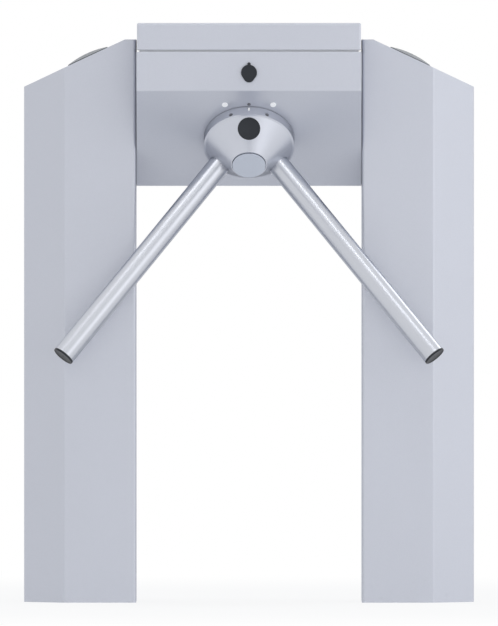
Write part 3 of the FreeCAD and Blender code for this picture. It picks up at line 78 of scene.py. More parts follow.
def arm_place(k):
    """Matrix of one arm, with its origin where the arms meet."""
    level = Matrix.Rotation(-ARM_LEAN, 3, "X") @ hub_axis
    axis = Matrix.Rotation(math.tau * k / ARM_COUNT, 3, hub_axis) @ level
    return standing(hub_centre - hub_axis * ARM_APEX, axis)


hub_place = standing(hub_centre, hub_axis)
arm_places = [arm_place(k) for k in range(ARM_COUNT)]
for place in arm_places:
    print("arm along", [round(value, 3) for value in place.col[2].xyz])

# %% [markdown]
# ## Camera
# The picture is a straight front view with hardly any perspective, like a drawing. An orthographic
# camera would give that, but a very long lens far away gives the same picture and keeps working for
# views from other sides. The camera stands as high as the level arm, so this arm is seen end-on.

# %% Camera
PICTURE_HIGH = 626
PIXEL = 1.7256 * MM  # size on the object of one pixel
FLOOR_ROW = 602.75  # row of the picture where the pylons stand
FOCAL_LENGTH = 1300.0
FRONT = -110 * MM  # depth of the front that the scale was taken on
CLIP_NEAR = 0.01  # nearest and farthest that the camera sees, as shares of its distance
CLIP_FAR = 10
camera_data = bpy.data.cameras.new("camera")
camera_data.lens = FOCAL_LENGTH
distance = PIXEL * PICTURE_HIGH * FOCAL_LENGTH / camera_data.sensor_width
camera_data.clip_start = distance * CLIP_NEAR
camera_data.clip_end = distance * CLIP_FAR
camera = bpy.data.objects.new("camera", camera_data)
eye = Vector((0, FRONT - distance, arm_places[0].translation.z))
aim = Vector((0, FRONT, (FLOOR_ROW - PICTURE_HIGH / 2) * PIXEL))
camera.location = eye
camera.rotation_euler = (aim - eye).to_track_quat("-Z", "Y").to_euler()
scene.collection.objects.link(camera)
scene.camera = camera
print("camera", round(distance, 2), "m away")

# %% [markdown]
# ## Shader maths as Python
# Finishes are small sums of noise and masks, and a chain of Math nodes is hard to read. This class
# wraps one output of a node, and Python's own operators on it add the Math nodes. One method adds any
# other node: its settings come first, then the values or links of its sockets.

# %% A socket with operators


class Socket:
    """One output of a material's nodes."""

    def __init__(self, tree, out=None):
        self.tree = tree
        self.out = out

    def node(self, kind, settings=None, sockets=None, out=0):
        """Adds a node and returns one of its outputs."""
        made = self.tree.nodes.new("ShaderNode" + kind)
        for name, value in (settings or {}).items():
            setattr(made, name, value)
        self.fill(made, sockets or {})
        return Socket(self.tree, made.outputs[out])

    def fill(self, node, sockets):
        """Gives a node's sockets their values or links."""
        for name, value in sockets.items():
            if isinstance(value, Socket):
                self.tree.links.new(value.out, node.inputs[name])
            else:
                node.inputs[name].default_value = value

    def math(self, operation, first, second=0.0):
        """Adds one Math node."""
        return self.node("Math", {"operation": operation}, {0: first, 1: second})

    def __add__(self, other):
        return self.math("ADD", self, other)

    def __radd__(self, other):
        return self.math("ADD", other, self)

    def __sub__(self, other):
        return self.math("SUBTRACT", self, other)

    def __rsub__(self, other):
        return self.math("SUBTRACT", other, self)

    def __mul__(self, other):
        return self.math("MULTIPLY", self, other)

    def __rmul__(self, other):
        return self.math("MULTIPLY", other, self)

    def between(self, low, high):
        """0 below one value, 1 above another, and smooth between them."""
        settings = {"interpolation_type": "SMOOTHSTEP", "clamp": True}
        return self.node("MapRange", settings, {"Value": self, "From Min": low, "From Max": high})

    def waves(self, pitch):
        """Sine of this length, with a crest at every pitch."""
        return self.math("SINE", self * (math.tau / pitch))

    def mix(self, first, second):
        """Colour between two colours, with this value as the share of the second."""
        return self.node("Mix", {"data_type": "RGBA"}, {0: self, 6: first, 7: second}, out=2)

    def bump(self, height):
        """Normal of a surface that this value raises by a height in metres."""
        return self.node("Bump", sockets={"Height": self, "Distance": height})

    def noise(self, scale, detail=2.0, roughness=0.5):
        """Cloudy noise at this place, about 0.5 on the whole, with so many clouds to a metre."""
        sockets = {"Vector": self, "Scale": scale, "Detail": detail, "Roughness": roughness}
        return self.node("TexNoise", sockets=sockets)

    def cells(self, scale, out="Distance"):
        """Cells, so many to a metre: the distance from a cell's middle, or a random colour for each."""
        return self.node("TexVoronoi", sockets={"Vector": self, "Scale": scale}, out=out)

    def stretched(self, x, y, z):
        """This place with its axes scaled, which draws a pattern out along the smallest."""
        return self.node("VectorMath", {"operation": "MULTIPLY"}, {0: self, 1: (x, y, z)})

    def seen_from(self, place):
        """This place in the axes of a matrix."""
        sockets = {"Vector": self, "Location": place.translation, "Rotation": place.to_euler()}
        return self.node("Mapping", {"vector_type": "TEXTURE"}, sockets)

    def axis(self, name):
        """One coordinate of this place."""
        return self.node("SeparateXYZ", sockets={0: self}, out=name)

    def from_axis(self):
        """Distance of this place from the z axis."""
        flat = self.stretched(1, 1, 0)
        return self.node("VectorMath", {"operation": "LENGTH"}, {0: flat}, out="Value")


print("sockets add nodes through", [name for name in vars(Socket) if not name.startswith("__")])

# %% [markdown]
# ## Starting a finish
# Every finish is a Principled shader fed by a recipe, which is a function from the place on the surface
# to the shader's sockets. Object coordinates are used throughout: the nodes sit at the origin, so these
# are metres in the turnstile's own frame and the pattern keeps its real size on every piece.

# %% Finishes from recipes


def tint(red, green, blue):
    """Colour on the screen, 0 to 255, as the linear colour that a shader takes."""
    screen = Color((red / 255, green / 255, blue / 255))
    return (*screen.from_srgb_to_scene_linear(), 1.0)


def finish(name, recipe, *choices):
    """Material with one Principled shader, as a recipe and its choices say."""
    made = bpy.data.materials.new(name)
    made.use_nodes = True
    place = Socket(made.node_tree).node("TexCoord", out="Object")
    place.fill(made.node_tree.nodes["Principled BSDF"], recipe(place, *choices))
    print("finish", name, "has", len(made.node_tree.nodes), "nodes")
    return made


print("middle grey of the screen is", round(tint(128, 128, 128)[0], 3), "in a shader")

# %% [markdown]
# ## Floor and background
# The turnstile stands on a pale floor before a white background. The background is white because the
# world and the floor show white to the camera, to mirrors and to glass, and not because there is more
# light on the object. A share of plain diffuse floor is kept in that white, so the shadow under the
# pylons stays, and farther out the floor fades into the backdrop so that no horizon shows.

# %% World
SKY_LEVEL = 0.49  # light of the world on dull surfaces
SKY_COLOUR = (0.985, 0.985, 0.99, 1.0)
WHITE = (1.0, 1.0, 1.0, 1.0)
LOOKING_RAYS = ("Is Camera Ray", "Is Glossy Ray", "Is Transmission Ray")
world = bpy.data.worlds.new("studio")
world.use_nodes = True
scene.world = world


def shown_white(start):
    """1 for rays that look at the background straight, in a mirror or through glass."""
    straight, mirrored, through = [start.node("LightPath", out=ray) for ray in LOOKING_RAYS]
    return (straight + mirrored + through).between(0, 1)


studio = Socket(world.node_tree)
lighting = studio.node("Background", sockets={"Color": SKY_COLOUR, "Strength": SKY_LEVEL})
backdrop = studio.node("Background", sockets={"Color": WHITE, "Strength": 1.0})
blend = studio.node("MixShader", sockets={0: shown_white(studio), 1: lighting, 2: backdrop})
studio.fill(world.node_tree.nodes["World Output"], {"Surface": blend})
print("world lights at", SKY_LEVEL)

# %% Floor
FLOOR_SIZE = 30.0
FLOOR_COLOUR = (0.79, 0.82, 0.86, 1.0)
FLOOR_WHITE = 0.85  # share of plain white in what the floor shows beside the turnstile
FADE_START = 0.8  # metres from the middle where the floor starts to fade into the backdrop
FADE_END = 2.4
ground = bmesh.new()
bmesh.ops.create_grid(ground, x_segments=2, y_segments=2, size=FLOOR_SIZE / 2)
floor_mesh = bpy.data.meshes.new("floor")
ground.to_mesh(floor_mesh)
ground.free()
floor = bpy.data.objects.new("floor", floor_mesh)
scene.collection.objects.link(floor)
pale = bpy.data.materials.new("pale floor")
pale.use_nodes = True
paving = Socket(pale.node_tree)
dull = paving.node("BsdfDiffuse", sockets={"Color": FLOOR_COLOUR})
glow = paving.node("Emission", sockets={"Color": WHITE, "Strength": 1.0})
fade = paving.node("TexCoord", out="Object").from_axis().between(FADE_START, FADE_END)
white_share = shown_white(paving) * (FLOOR_WHITE + fade * (1 - FLOOR_WHITE))
shown = paving.node("MixShader", sockets={0: white_share, 1: dull, 2: glow})
paving.fill(pale.node_tree.nodes["Material Output"], {"Surface": shown})
floor_mesh.materials.append(pale)
print("floor", FLOOR_SIZE, "m wide")

# %% [markdown]
# ## Lamps
# The picture has even, soft light that is a little stronger on the right, so the lamps are broad soft
# boxes. Most of them only shape the faces and stay out of the reflections. The wall and the strips that
# mirrors do show draw the bright streaks along the arms and on the hub. The overhead lamp and the rear
# key do the same work for views from above and from behind.

# %% Soft boxes
DAYLIGHT = (0.98, 0.985, 1.0)


def softbox(name, spot, facing, wide, high, watts, mirrored=False):
    """Area lamp that hangs at a spot and faces a point. Mirrors show it only if asked to."""
    lamp = bpy.data.lights.new(name, "AREA")
    lamp.shape = "RECTANGLE"
    lamp.size = wide
    lamp.size_y = high
    lamp.energy = watts
    lamp.color = DAYLIGHT
    hung = bpy.data.objects.new(name, lamp)
    hung.location = spot
    hung.rotation_euler = (Vector(facing) - Vector(spot)).to_track_quat("-Z", "Y").to_euler()
    hung.visible_camera = False
    hung.visible_glossy = mirrored
    scene.collection.objects.link(hung)
    print("lamp", name, watts, "W")


softbox("right wall", (5.2, -3.0, 2.2), (0, 0, 0.7), wide=7.5, high=4.4, watts=42, mirrored=True)
softbox("right fill", (5.8, -1.2, 1.2), (0, 0, 0.6), wide=4.0, high=3.0, watts=80)
softbox("front strip", (0.1, -1.93, 3.0), (0.72, -0.35, 0.6), wide=3.2, high=0.3, watts=9, mirrored=True)
softbox("right rim", (2.4, 1.6, 2.8), (0, -0.2, 0.6), wide=1.2, high=1.2, watts=9, mirrored=True)
softbox("left fill", (-5.4, -3.4, 1.4), (0, 0, 0.6), wide=4.0, high=3.0, watts=60)
softbox("front fill", (0.0, -7.0, 3.0), (0, 0, 0.6), wide=4.0, high=3.0, watts=5)
softbox("low fill", (0.8, -6.0, 0.5), (0, 0, 0.75), wide=4.0, high=0.8, watts=66)
softbox("low strip", (2.6, -2.6, 0.85), (0, -0.15, 0.75), wide=3.4, high=1.6, watts=4, mirrored=True)
softbox("overhead", (0.0, 0.4, 4.6), (0, 0, 1.0), wide=3.0, high=3.0, watts=36)
softbox("rear key", (-3.6, 4.4, 2.4), (0, 0, 0.6), wide=3.0, high=2.0, watts=60)

# %% [markdown]
# ## Silver powder coat
# The pylons, the housing and the lid are folded sheet with a silver-grey powder coat. It is smooth
# enough to mirror the arms as soft dark fans beside the hub. Baked powder leaves a fine orange peel and
# holds tiny flakes, it is never quite even, and shoes dull it a little near the floor. Three noises and
# one layer of cells make these four things, each at its real size.

# %% Powder coat
SHOE_MARKS = 90 * MM  # how high shoes scuff the coat


def powder_coat(place):
    """Satin silver coat with flakes, orange peel and shoe marks."""
    peel = place.noise(scale=650.0, detail=2.0)
    flakes = place.cells(scale=2600.0, out="Color").mix(tint(190, 193, 203), tint(199, 202, 211))
    clouds = place.noise(scale=5.0, detail=3.0).between(0.3, 0.7)
    near_floor = 1 - place.axis("Z").between(0, SHOE_MARKS)
    scuffs = place.noise(scale=42.0, detail=4.0, roughness=0.65).between(0.56, 0.74) * near_floor
    return {
        "Base Color": (clouds * 0.06 + scuffs * 0.08).mix(flakes, tint(176, 178, 186)),
        "Metallic": 0.55,
        "Roughness": 0.34 + peel * 0.06 + scuffs * 0.15,
        "Normal": peel.bump(height=0.06 * MM),
    }


body_paint = finish("silver powder coat", powder_coat)

# %% [markdown]
# ## Hub and arms
# The hub is a turned aluminium casting with a satin face, so its fine grooves run in circles about the
# hub axis. The arms are polished stainless tube, and polishing leaves faint lines along each tube. Both
# patterns need the piece's own axis, and a Mapping node turns the place on the surface to it. Metal
# that is seen at a glancing angle looks darker here, which the specular tint of the shader sets.

# %% Turned aluminium
GROOVE_PITCH = 0.8 * MM
HUB_GLANCE = (0.2, 0.21, 0.24, 1.0)  # specular tint


def turned_satin(place, centre, dark, light):
    """Satin metal with grooves in circles about the axis of a matrix."""
    local = place.seen_from(centre)
    clouds = local.noise(scale=18.0, detail=3.0)
    return {
        "Base Color": clouds.mix(dark, light),
        "Metallic": 0.75,
        "Roughness": 0.28 + clouds * 0.05,
        "Specular Tint": HUB_GLANCE,
        "Normal": local.from_axis().waves(GROOVE_PITCH).bump(height=0.004 * MM),
    }


hub_tints = (tint(196, 199, 208), tint(205, 208, 217))
# The cap is the same turned aluminium as the hub. Its darker, bluer tints are painted shade and a painted
# reflection of the floor on its face that looks down.
cap_painted_shade_tints = (tint(186, 192, 204), tint(194, 200, 212))
hub_metal = finish("turned satin aluminium", turned_satin, hub_place, *hub_tints)
cap_metal_with_painted_shade = finish("turned hub cap with painted shade", turned_satin, hub_place, *cap_painted_shade_tints)

# %% Polished tube
TUBE_GLANCE = (0.6, 0.62, 0.66, 1.0)  # specular tint


def polished_tube(place, centre):
    """Polished steel with lines along the axis of a matrix, dulled here and there by hands."""
    local = place.seen_from(centre)
    lines = local.stretched(1, 1, 0.02).noise(scale=2200.0, detail=3.0)
    hands = local.noise(scale=14.0, detail=3.0).between(0.45, 0.75)
    return {
        "Base Color": lines.mix(tint(194, 197, 205), tint(206, 209, 216)),
        "Metallic": 1.0,
        "Roughness": 0.28 + lines * 0.03 + hands * 0.04,
        "Specular Tint": TUBE_GLANCE,
        "Normal": lines.bump(height=0.003 * MM),
    }


arm_steels = []
for k, place in enumerate(arm_places):
    arm_steels.append(finish(f"polished tube {k + 1}", polished_tube, place))

# %% [markdown]
# ## Plastic and rubber
# The arm ends and the keyhole cover are black mouldings with the fine spark-eroded grain of their
# mould. Gaskets and seals are plain matt rubber, which is paler under the lenses. The small covers over
# the panel screws are glossy white, and the indicator lens is frosted.

# %% Mouldings and rubber


def black_moulding(place):
    """Black plastic with the grain of a spark-eroded mould."""
    grain = place.cells(scale=1500.0)
    return {
        "Base Color": place.noise(scale=30.0, detail=2.0).mix(tint(31, 34, 39), tint(39, 42, 48)),
        "Specular IOR Level": 0.3,
        "Roughness": 0.3 + grain * 0.2,
        "Normal": grain.bump(height=0.02 * MM),
    }


def matt_rubber(place, dark, light):
    """Dull rubber between two tints."""
    grain = place.noise(scale=900.0, detail=4.0)
    return {
        "Base Color": place.noise(scale=60.0, detail=3.0).mix(dark, light),
        "Roughness": 0.68 + grain * 0.2,
        "Normal": grain.bump(height=0.04 * MM),
    }


def white_moulding(place):
    """Glossy white plastic."""
    grain = place.noise(scale=700.0, detail=2.0)
    return {
        "Base Color": grain.mix(tint(250, 251, 252), tint(254, 254, 254)),
        "Roughness": 0.28 + grain * 0.1,
        "Normal": grain.bump(height=0.01 * MM),
    }


black_plastic = finish("black moulding", black_moulding)
black_rubber = finish("matt rubber", matt_rubber, tint(50, 51, 54), tint(66, 67, 70))
lens_rubber = finish("lens gasket rubber", matt_rubber, tint(92, 94, 98), tint(106, 108, 112))
grey_rubber = finish("grey silicone", matt_rubber, tint(196, 198, 202), tint(208, 210, 214))
white_plastic = finish("white moulding", white_moulding)

# %% Frosted lens


def frosted_lens(place):
    """Grey plastic with a frosted face that hardly mirrors."""
    grain = place.noise(scale=1200.0, detail=2.0)
    clouds = place.noise(scale=25.0, detail=2.0)
    return {
        "Base Color": clouds.mix(tint(146, 150, 154), tint(158, 162, 166)),
        "Specular IOR Level": 0.12,
        "Roughness": 0.42 + grain * 0.12,
        "Normal": grain.bump(height=0.02 * MM),
    }


lens_plastic = finish("frosted lens", frosted_lens)

# %% [markdown]
# ## Metals inside the housing
# The lid opens, so the mechanism under it shows too. Zinc plating has a faint mottled bloom, blackened
# steel is nearly even, brass is warm with fine scratches, and a sand casting is grainy. One recipe with
# a bloom and a grain serves them all, and a table holds what differs. The paint of the motor and the
# steel of the small dark screws are two more rows of it.

# %% Plain metals
METALS = {
    # darker and lighter tint, metallic, roughness, size and height of the grain
    "zinc_steel": (tint(168, 171, 176), tint(196, 199, 204), 1.0, 0.28, 0.9 * MM, 0.01 * MM),
    "dark_steel": (tint(48, 49, 53), tint(66, 67, 71), 0.8, 0.34, 0.7 * MM, 0.01 * MM),
    "brass": (tint(176, 140, 72), tint(206, 172, 102), 1.0, 0.28, 0.6 * MM, 0.01 * MM),
    "cast_aluminium": (tint(158, 160, 164), tint(184, 186, 190), 0.9, 0.42, 1.1 * MM, 0.05 * MM),
    "motor_paint": (tint(44, 45, 48), tint(56, 57, 60), 0.0, 0.36, 0.8 * MM, 0.03 * MM),
    "screw_steel": (tint(108, 109, 114), tint(128, 129, 134), 0.5, 0.4, 0.7 * MM, 0.01 * MM),
}


def plated(place, dark, light, metallic, roughness, grain_size, grain_height):
    """Metal with a mottled bloom and a grain."""
    bloom = place.noise(scale=120.0, detail=4.0, roughness=0.6)
    grain = place.noise(scale=1 / grain_size, detail=3.0)
    return {
        "Base Color": bloom.mix(dark, light),
        "Metallic": metallic,
        "Roughness": roughness + bloom * 0.14,
        "Normal": grain.bump(height=grain_height),
    }


metals = {slot: finish(slot.replace("_", " "), plated, *values) for slot, values in METALS.items()}

# %% [markdown]
# ## Boards and power supply
# A circuit board is green lacquer over copper tracks, with dark parts on its front and brass posts
# behind it. The power supply is a zinc case with a black terminal strip. Each of the two is one node,
# so the finish changes by depth or by height, exactly where one solid ends and the next begins.

# %% Circuit boards
TRACK_PITCH = 2.54 * MM
BOARD_FACE = 9.6 * MM  # front of the control board ahead of the wall behind it
BOARD_BACK = 8.0 * MM
EDGE = 0.2 * MM  # width of the change from one finish to the next
board_low, board_high = [Vector(corner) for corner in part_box("control_board")]


def solder_mask(place):
    """Green lacquer over rows of broken tracks."""
    rows = place.axis("Z").waves(TRACK_PITCH).between(0.55, 0.75)
    breaks = place.stretched(1, 0, 1).noise(scale=90.0, detail=1.0).between(0.5, 0.56)
    tracks = rows * breaks
    grain = place.noise(scale=500.0, detail=2.0)
    return {
        "Base Color": tracks.mix(tint(24, 92, 58), tint(58, 138, 84)),
        "Roughness": 0.3 + grain * 0.1,
        "Normal": tracks.bump(height=0.05 * MM),
    }


def board_with_parts(place):
    """Lacquer with dark parts in front of the board and brass posts behind it."""
    lacquer = solder_mask(place)
    depth = place.axis("Y")
    face = board_high.y - BOARD_FACE
    back = board_high.y - BOARD_BACK
    parts = 1 - depth.between(face - 2 * EDGE, face - EDGE)
    posts = depth.between(back + EDGE, back + 2 * EDGE)
    moulded = place.noise(scale=40.0, detail=2.0).mix(tint(34, 36, 40), tint(46, 48, 53))
    lacquer["Base Color"] = posts.mix(parts.mix(lacquer["Base Color"], moulded), tint(192, 158, 88))
    lacquer["Metallic"] = posts
    return lacquer


circuit_board = finish("solder mask", solder_mask)
control_board = finish("control board", board_with_parts)

# %% Power supply
STRIP_WIDE = 13 * MM  # terminal strip from the supply's left side
STRIP_FOOT = 14 * MM
supply_low = Vector(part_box("power_supply")[0])


def vented_case(place):
    """Zinc case with a black terminal strip along its left side."""
    case = plated(place, *METALS["zinc_steel"])
    side = supply_low.x + STRIP_WIDE
    foot = supply_low.z + STRIP_FOOT
    beside = 1 - place.axis("X").between(side + EDGE, side + 2 * EDGE)
    strip = beside * place.axis("Z").between(foot + EDGE, foot + 2 * EDGE)
    case["Base Color"] = strip.mix(case["Base Color"], tint(34, 35, 39))
    case["Metallic"] = 1 - strip
    return case


supply_case = finish("vented supply case", vented_case)

# %% [markdown]
# ## Dressing the frame
# The record already says which finish each solid takes, so the solids are dressed by looking their slot
# up. A few have a finish of their own: the polish of each arm runs along its own axis, the hub cap is a
# darker and bluer copy of the hub's finish, which paints the shade and the floor's reflection on its
# face that looks down, the lens gaskets are paler than other rubber, the screws round the hub are dark,
# and the control board and the power supply change finish along their depth or height.

# %% Dress every solid
FINISHES = {
    "body_paint": body_paint,
    "hub_metal": hub_metal,
    "black_plastic": black_plastic,
    "black_rubber": black_rubber,
    "grey_rubber": grey_rubber,
    "white_plastic": white_plastic,
    "lens_plastic": lens_plastic,
    "circuit_board": circuit_board,
    **metals,
}
OWN_FINISHES = {
    "arm_1": arm_steels[0],
    "arm_2": arm_steels[1],
    "arm_3": arm_steels[2],
    "hub_cap": cap_metal_with_painted_shade,
    "hub_set_screws": metals["screw_steel"],
    "locating_screw": metals["screw_steel"],
    "lens_gaskets": lens_rubber,
    "control_board": control_board,
    "power_supply": supply_case,
}
for subpart in frame["record"]["subparts"]:
    node = subpart["node"]
    slots = frame["nodes"][node].data.materials
    slots.clear()
    slots.append(OWN_FINISHES.get(node) or FINISHES[subpart["material_slot"]])

# %% [markdown]
# ## Round pieces by spinning
# Lenses, plugs, cans and coils are all turned or moulded round. Adding cylinders on top of each other
# would give the steps, but half of the section spun about the z axis gives the fillets and grooves as
# well. The doubled points on the axis are merged, and then the normals are turned outwards.

# %% Spin, repeat and seat a piece
SPIN_STEPS = 64
MERGE = 0.001 * MM  # points closer than this are one
CRISP = math.radians(30)  # edges sharper than this stay crisp


def spun(section, steps=SPIN_STEPS):
    """Round shape about the z axis, from half of its section as pairs of radius and height."""
    shape = bmesh.new()
    points = [shape.verts.new((radius, 0, height)) for radius, height in section]
    lines = [shape.edges.new(ends) for ends in zip(points, points[1:])]
    bmesh.ops.spin(
        shape, geom=points + lines, cent=(0, 0, 0), axis=(0, 0, 1),
        angle=math.tau, steps=steps, use_merge=True,
    )
    bmesh.ops.remove_doubles(shape, verts=shape.verts[:], dist=MERGE)
    bmesh.ops.recalc_face_normals(shape, faces=shape.faces[:])
    return shape


def repeated(shape, places):
    """The shape at each of several places."""
    first = shape.verts[:] + shape.edges[:] + shape.faces[:]
    copies = [first] + [bmesh.ops.duplicate(shape, geom=first)["geom"] for _ in places[1:]]
    for place, copy in zip(places, copies):
        points = [item for item in copy if isinstance(item, bmesh.types.BMVert)]
        bmesh.ops.transform(shape, matrix=place, verts=points)
    return shape


def row(first, pitch, count):
    """Evenly spaced places on a line."""
    return [first + pitch * k for k in range(count)]


def piece(name, shape, slot, body, *nodes):
    """Object of a finished shape, which rides a body, takes a slot's finish and may stand for solids."""
    mesh = bpy.data.meshes.new(name)
    shape.to_mesh(mesh)
    shape.free()
    mesh.materials.append(FINISHES[slot])
    mesh.shade_smooth()
    mesh.set_sharp_from_angle(angle=CRISP)
    made = bpy.data.objects.new(name, mesh)
    scene.collection.objects.link(made)
    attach(made, body)
    if nodes:
        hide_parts(*nodes)
    print("piece", name, "has", len(mesh.polygons), "faces")


print("round pieces have", SPIN_STEPS, "sides")

# %% [markdown]
# ## Indicator lenses
# A shallow dome on each sloping top shows whether the way is open, and a card reader sits under it. The
# moulding has a plain edge and rings of fine grooves that spread the light of the lamps. A bump map
# would draw the grooves too, but the lens is seen edge-on, so they are cut into the section that is
# spun. A skirt under the dome fits into the hole in the sheet.

# %% Section of a lens
LENS_R = 37.2 * MM
LENS_RIM = 2.0 * MM  # height of the rim above the sloping sheet
LENS_CROWN = 6.6 * MM
LENS_BOW = (LENS_R**2 + (LENS_CROWN - LENS_RIM) ** 2) / (2 * (LENS_CROWN - LENS_RIM))
LENS_WALL = 2.0 * MM
LENS_SEAT = 1.6 * MM  # top of the gasket
SKIRT_R = 30.4 * MM
SKIRT_FOOT = -30.0 * MM
GROOVE_COUNT = 7
GROOVE_STEP = 4.2 * MM
GROOVE_HALF = 0.7 * MM
GROOVE_DEPTH = 0.35 * MM


def dome(radius):
    """Height of the dome over its radius."""
    return LENS_CROWN - LENS_BOW + math.sqrt(LENS_BOW**2 - radius**2)


def lens_section():
    """Half of the lens, from the crown over the grooves and round under the skirt."""
    section = [(0, LENS_CROWN)]
    for ring in row(GROOVE_STEP, GROOVE_STEP, GROOVE_COUNT):
        inner = ring - GROOVE_HALF
        outer = ring + GROOVE_HALF
        section += [(inner, dome(inner)), (ring, dome(ring) - GROOVE_DEPTH), (outer, dome(outer))]
    edge = LENS_R - GROOVE_HALF
    skirt_inner = SKIRT_R - LENS_WALL
    section += [(edge, dome(edge)), (LENS_R, LENS_RIM), (LENS_R, LENS_SEAT)]
    section += [(SKIRT_R, LENS_SEAT), (SKIRT_R, SKIRT_FOOT), (skirt_inner, SKIRT_FOOT)]
    return section + [(skirt_inner, dome(skirt_inner) - LENS_WALL), (0, LENS_CROWN - LENS_WALL)]


print("lens dome has a radius of", round(LENS_BOW / MM), "mm")

# %% Lenses on the sloping tops
SIDES = (-1, 1)  # left and right
LENS_LEAN = math.radians(25)
LENS_OUT = 278.3 * MM  # centre of a lens from the middle of the turnstile
LENS_UP = 942.16 * MM


def lens_place(side):
    """Matrix on one sloping top, with its z axis out of the sheet."""
    centre = Matrix.Translation((side * LENS_OUT, 0, LENS_UP))
    return centre @ Matrix.Rotation(side * LENS_LEAN, 4, "Y")


lens_places = [lens_place(side) for side in SIDES]
piece("ringed_lenses", repeated(spun(lens_section()), lens_places), "lens_plastic", "frame", "lenses")

# %% [markdown]
# ## Arm plugs
# A black moulding closes the outer end of each tube. It has a rounded rim and a sunk face with the small
# pip that the moulding gate leaves, and its stem is a push fit in the tube. The section is drawn along
# the arm, from the middle of the face round to the end of the stem.

# %% Face and rim of a plug
PLUG_R = 19.3 * MM
PLUG_FACE = 523 * MM  # rim of a plug from the point where the arms meet
PLUG_ROUND = 1.0 * MM
ROUND_FAR = 0.5 * MM  # the two points between the ends of the rounding, from the rim and from the side
ROUND_NEAR = 0.13 * MM
FACE_R = 16.4 * MM
FACE_LEVEL = PLUG_FACE - 0.8 * MM
RIM_R = 17.5 * MM
RIM_SWEEP = 0.4 * MM  # the soft slope between the face and the rim
RIM_RISE = 0.2 * MM
PIP_R = 1.1 * MM
PIP_FOOT_R = 1.5 * MM
PIP_LEVEL = FACE_LEVEL + 0.3 * MM
PIP_FALL = 0.05 * MM
pip = [(0, PIP_LEVEL), (PIP_R, PIP_LEVEL - PIP_FALL), (PIP_FOOT_R, FACE_LEVEL)]
slope = [
    (FACE_R, FACE_LEVEL), (FACE_R + RIM_SWEEP, FACE_LEVEL + RIM_RISE),
    (RIM_R - RIM_SWEEP, PLUG_FACE - RIM_RISE / 2), (RIM_R, PLUG_FACE),
]
rounding = [
    (PLUG_R - PLUG_ROUND, PLUG_FACE), (PLUG_R - ROUND_FAR, PLUG_FACE - ROUND_NEAR),
    (PLUG_R - ROUND_NEAR, PLUG_FACE - ROUND_FAR), (PLUG_R, PLUG_FACE - PLUG_ROUND),
]
print("face of a plug has", len(pip + slope + rounding), "points")

# %% Plugs in the arms
TUBE_END = 519.5 * MM
STEM_R = 16.95 * MM
STEM_END = 501.5 * MM
STEM_CHAMFER = 1.0 * MM
stem = [
    (PLUG_R, TUBE_END), (STEM_R, TUBE_END), (STEM_R, STEM_END + STEM_CHAMFER),
    (STEM_R - STEM_CHAMFER, STEM_END), (0, STEM_END),
]
plug = spun(pip + slope + rounding + stem)
piece("arm_plugs", repeated(plug, arm_places), "black_plastic", "tripod", "arm_end_caps")

# %% [markdown]
# ## Keyhole cover
# A small black plate hangs from a pin over the lock and swings aside for the key. It is round above and
# narrows to a smaller round toe, so a convex hull round two circles gives its outline without any sums.
# Its front edge is bevelled, and the field inside the edge is inset and sunk. The lug that the pin goes
# through is a small ring above the plate.

# %% Plate of the keyhole cover
COVER_SHEET = 2 * MM
COVER_R = 13.7 * MM
COVER_RISE = 2 * MM  # centre of the round part above the lock axis
COVER_TOE_R = 9.5 * MM
COVER_TOE_DROP = 5.3 * MM
FLAT = math.radians(1)  # faces that turn less than this are merged


def plate_round(*discs):
    """Plate stretched round discs, each given as its radius and its height above the lock axis."""
    shape = bmesh.new()
    for radius, up in discs:
        for level in (0, COVER_SHEET):
            place = Matrix.Translation((0, up, level))
            bmesh.ops.create_circle(shape, cap_ends=False, segments=SPIN_STEPS, radius=radius, matrix=place)
    made = bmesh.ops.convex_hull(shape, input=shape.verts[:])
    inside = [item for item in made["geom_interior"] if isinstance(item, bmesh.types.BMVert)]
    bmesh.ops.delete(shape, geom=inside, context="VERTS")
    bmesh.ops.dissolve_limit(shape, angle_limit=FLAT, verts=shape.verts[:], edges=shape.edges[:])
    bmesh.ops.recalc_face_normals(shape, faces=shape.faces[:])
    return shape


cover = plate_round((COVER_R, COVER_RISE), (COVER_TOE_R, -COVER_TOE_DROP))
print("plate of the cover has", len(cover.faces), "faces")

# %% Edge and field of the keyhole cover
COVER_EDGE = 0.7 * MM
COVER_RIM = 1.1 * MM
COVER_FIELD = 0.35 * MM  # depth of the sunk field
lock_axis = Vector(joints["lock_turn"]["pos_m"])
cover_back = Vector(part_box("lock_cover")[1]).y
lock_place = standing((0, cover_back, lock_axis.z), (0, -1, 0))


def front_face(shape):
    """The widest of the faces that lie furthest out, to a micrometre."""
    return max(shape.faces, key=lambda face: (round(face.calc_center_median().z, 6), face.calc_area()))


bmesh.ops.bevel(
    cover, geom=front_face(cover).edges[:], offset=COVER_EDGE, offset_type="OFFSET",
    affect="EDGES", segments=3, profile=0.5, material=-1,
)
bmesh.ops.inset_region(cover, faces=[front_face(cover)], thickness=COVER_RIM, use_even_offset=True)
bmesh.ops.inset_region(cover, faces=[front_face(cover)], thickness=COVER_FIELD, depth=-COVER_FIELD)
bmesh.ops.transform(cover, matrix=lock_place, verts=cover.verts[:])
piece("keyhole_cover", cover, "black_plastic", "lock_cover", "lock_cover")

# %% Lug of the keyhole cover
LUG_R = 2.9 * MM
LUG_HOLE_R = 1.4 * MM
LUG_ROUND = 0.4 * MM
LUG_FOOT = 0.1 * MM  # the lug is thinner than the plate on either side
LUG_FACE = COVER_SHEET - LUG_FOOT
lug_section = [
    (LUG_HOLE_R, LUG_FOOT), (LUG_R, LUG_FOOT), (LUG_R, LUG_FACE - LUG_ROUND),
    (LUG_R - LUG_ROUND, LUG_FACE), (LUG_HOLE_R, LUG_FACE), (LUG_HOLE_R, LUG_FOOT),
]
cover_pin = Vector(joints["lock_cover_swing"]["pos_m"])
lug_place = standing((0, cover_back, cover_pin.z), (0, -1, 0))
piece("keyhole_cover_lug", repeated(spun(lug_section), [lug_place]), "black_plastic", "lock_cover")

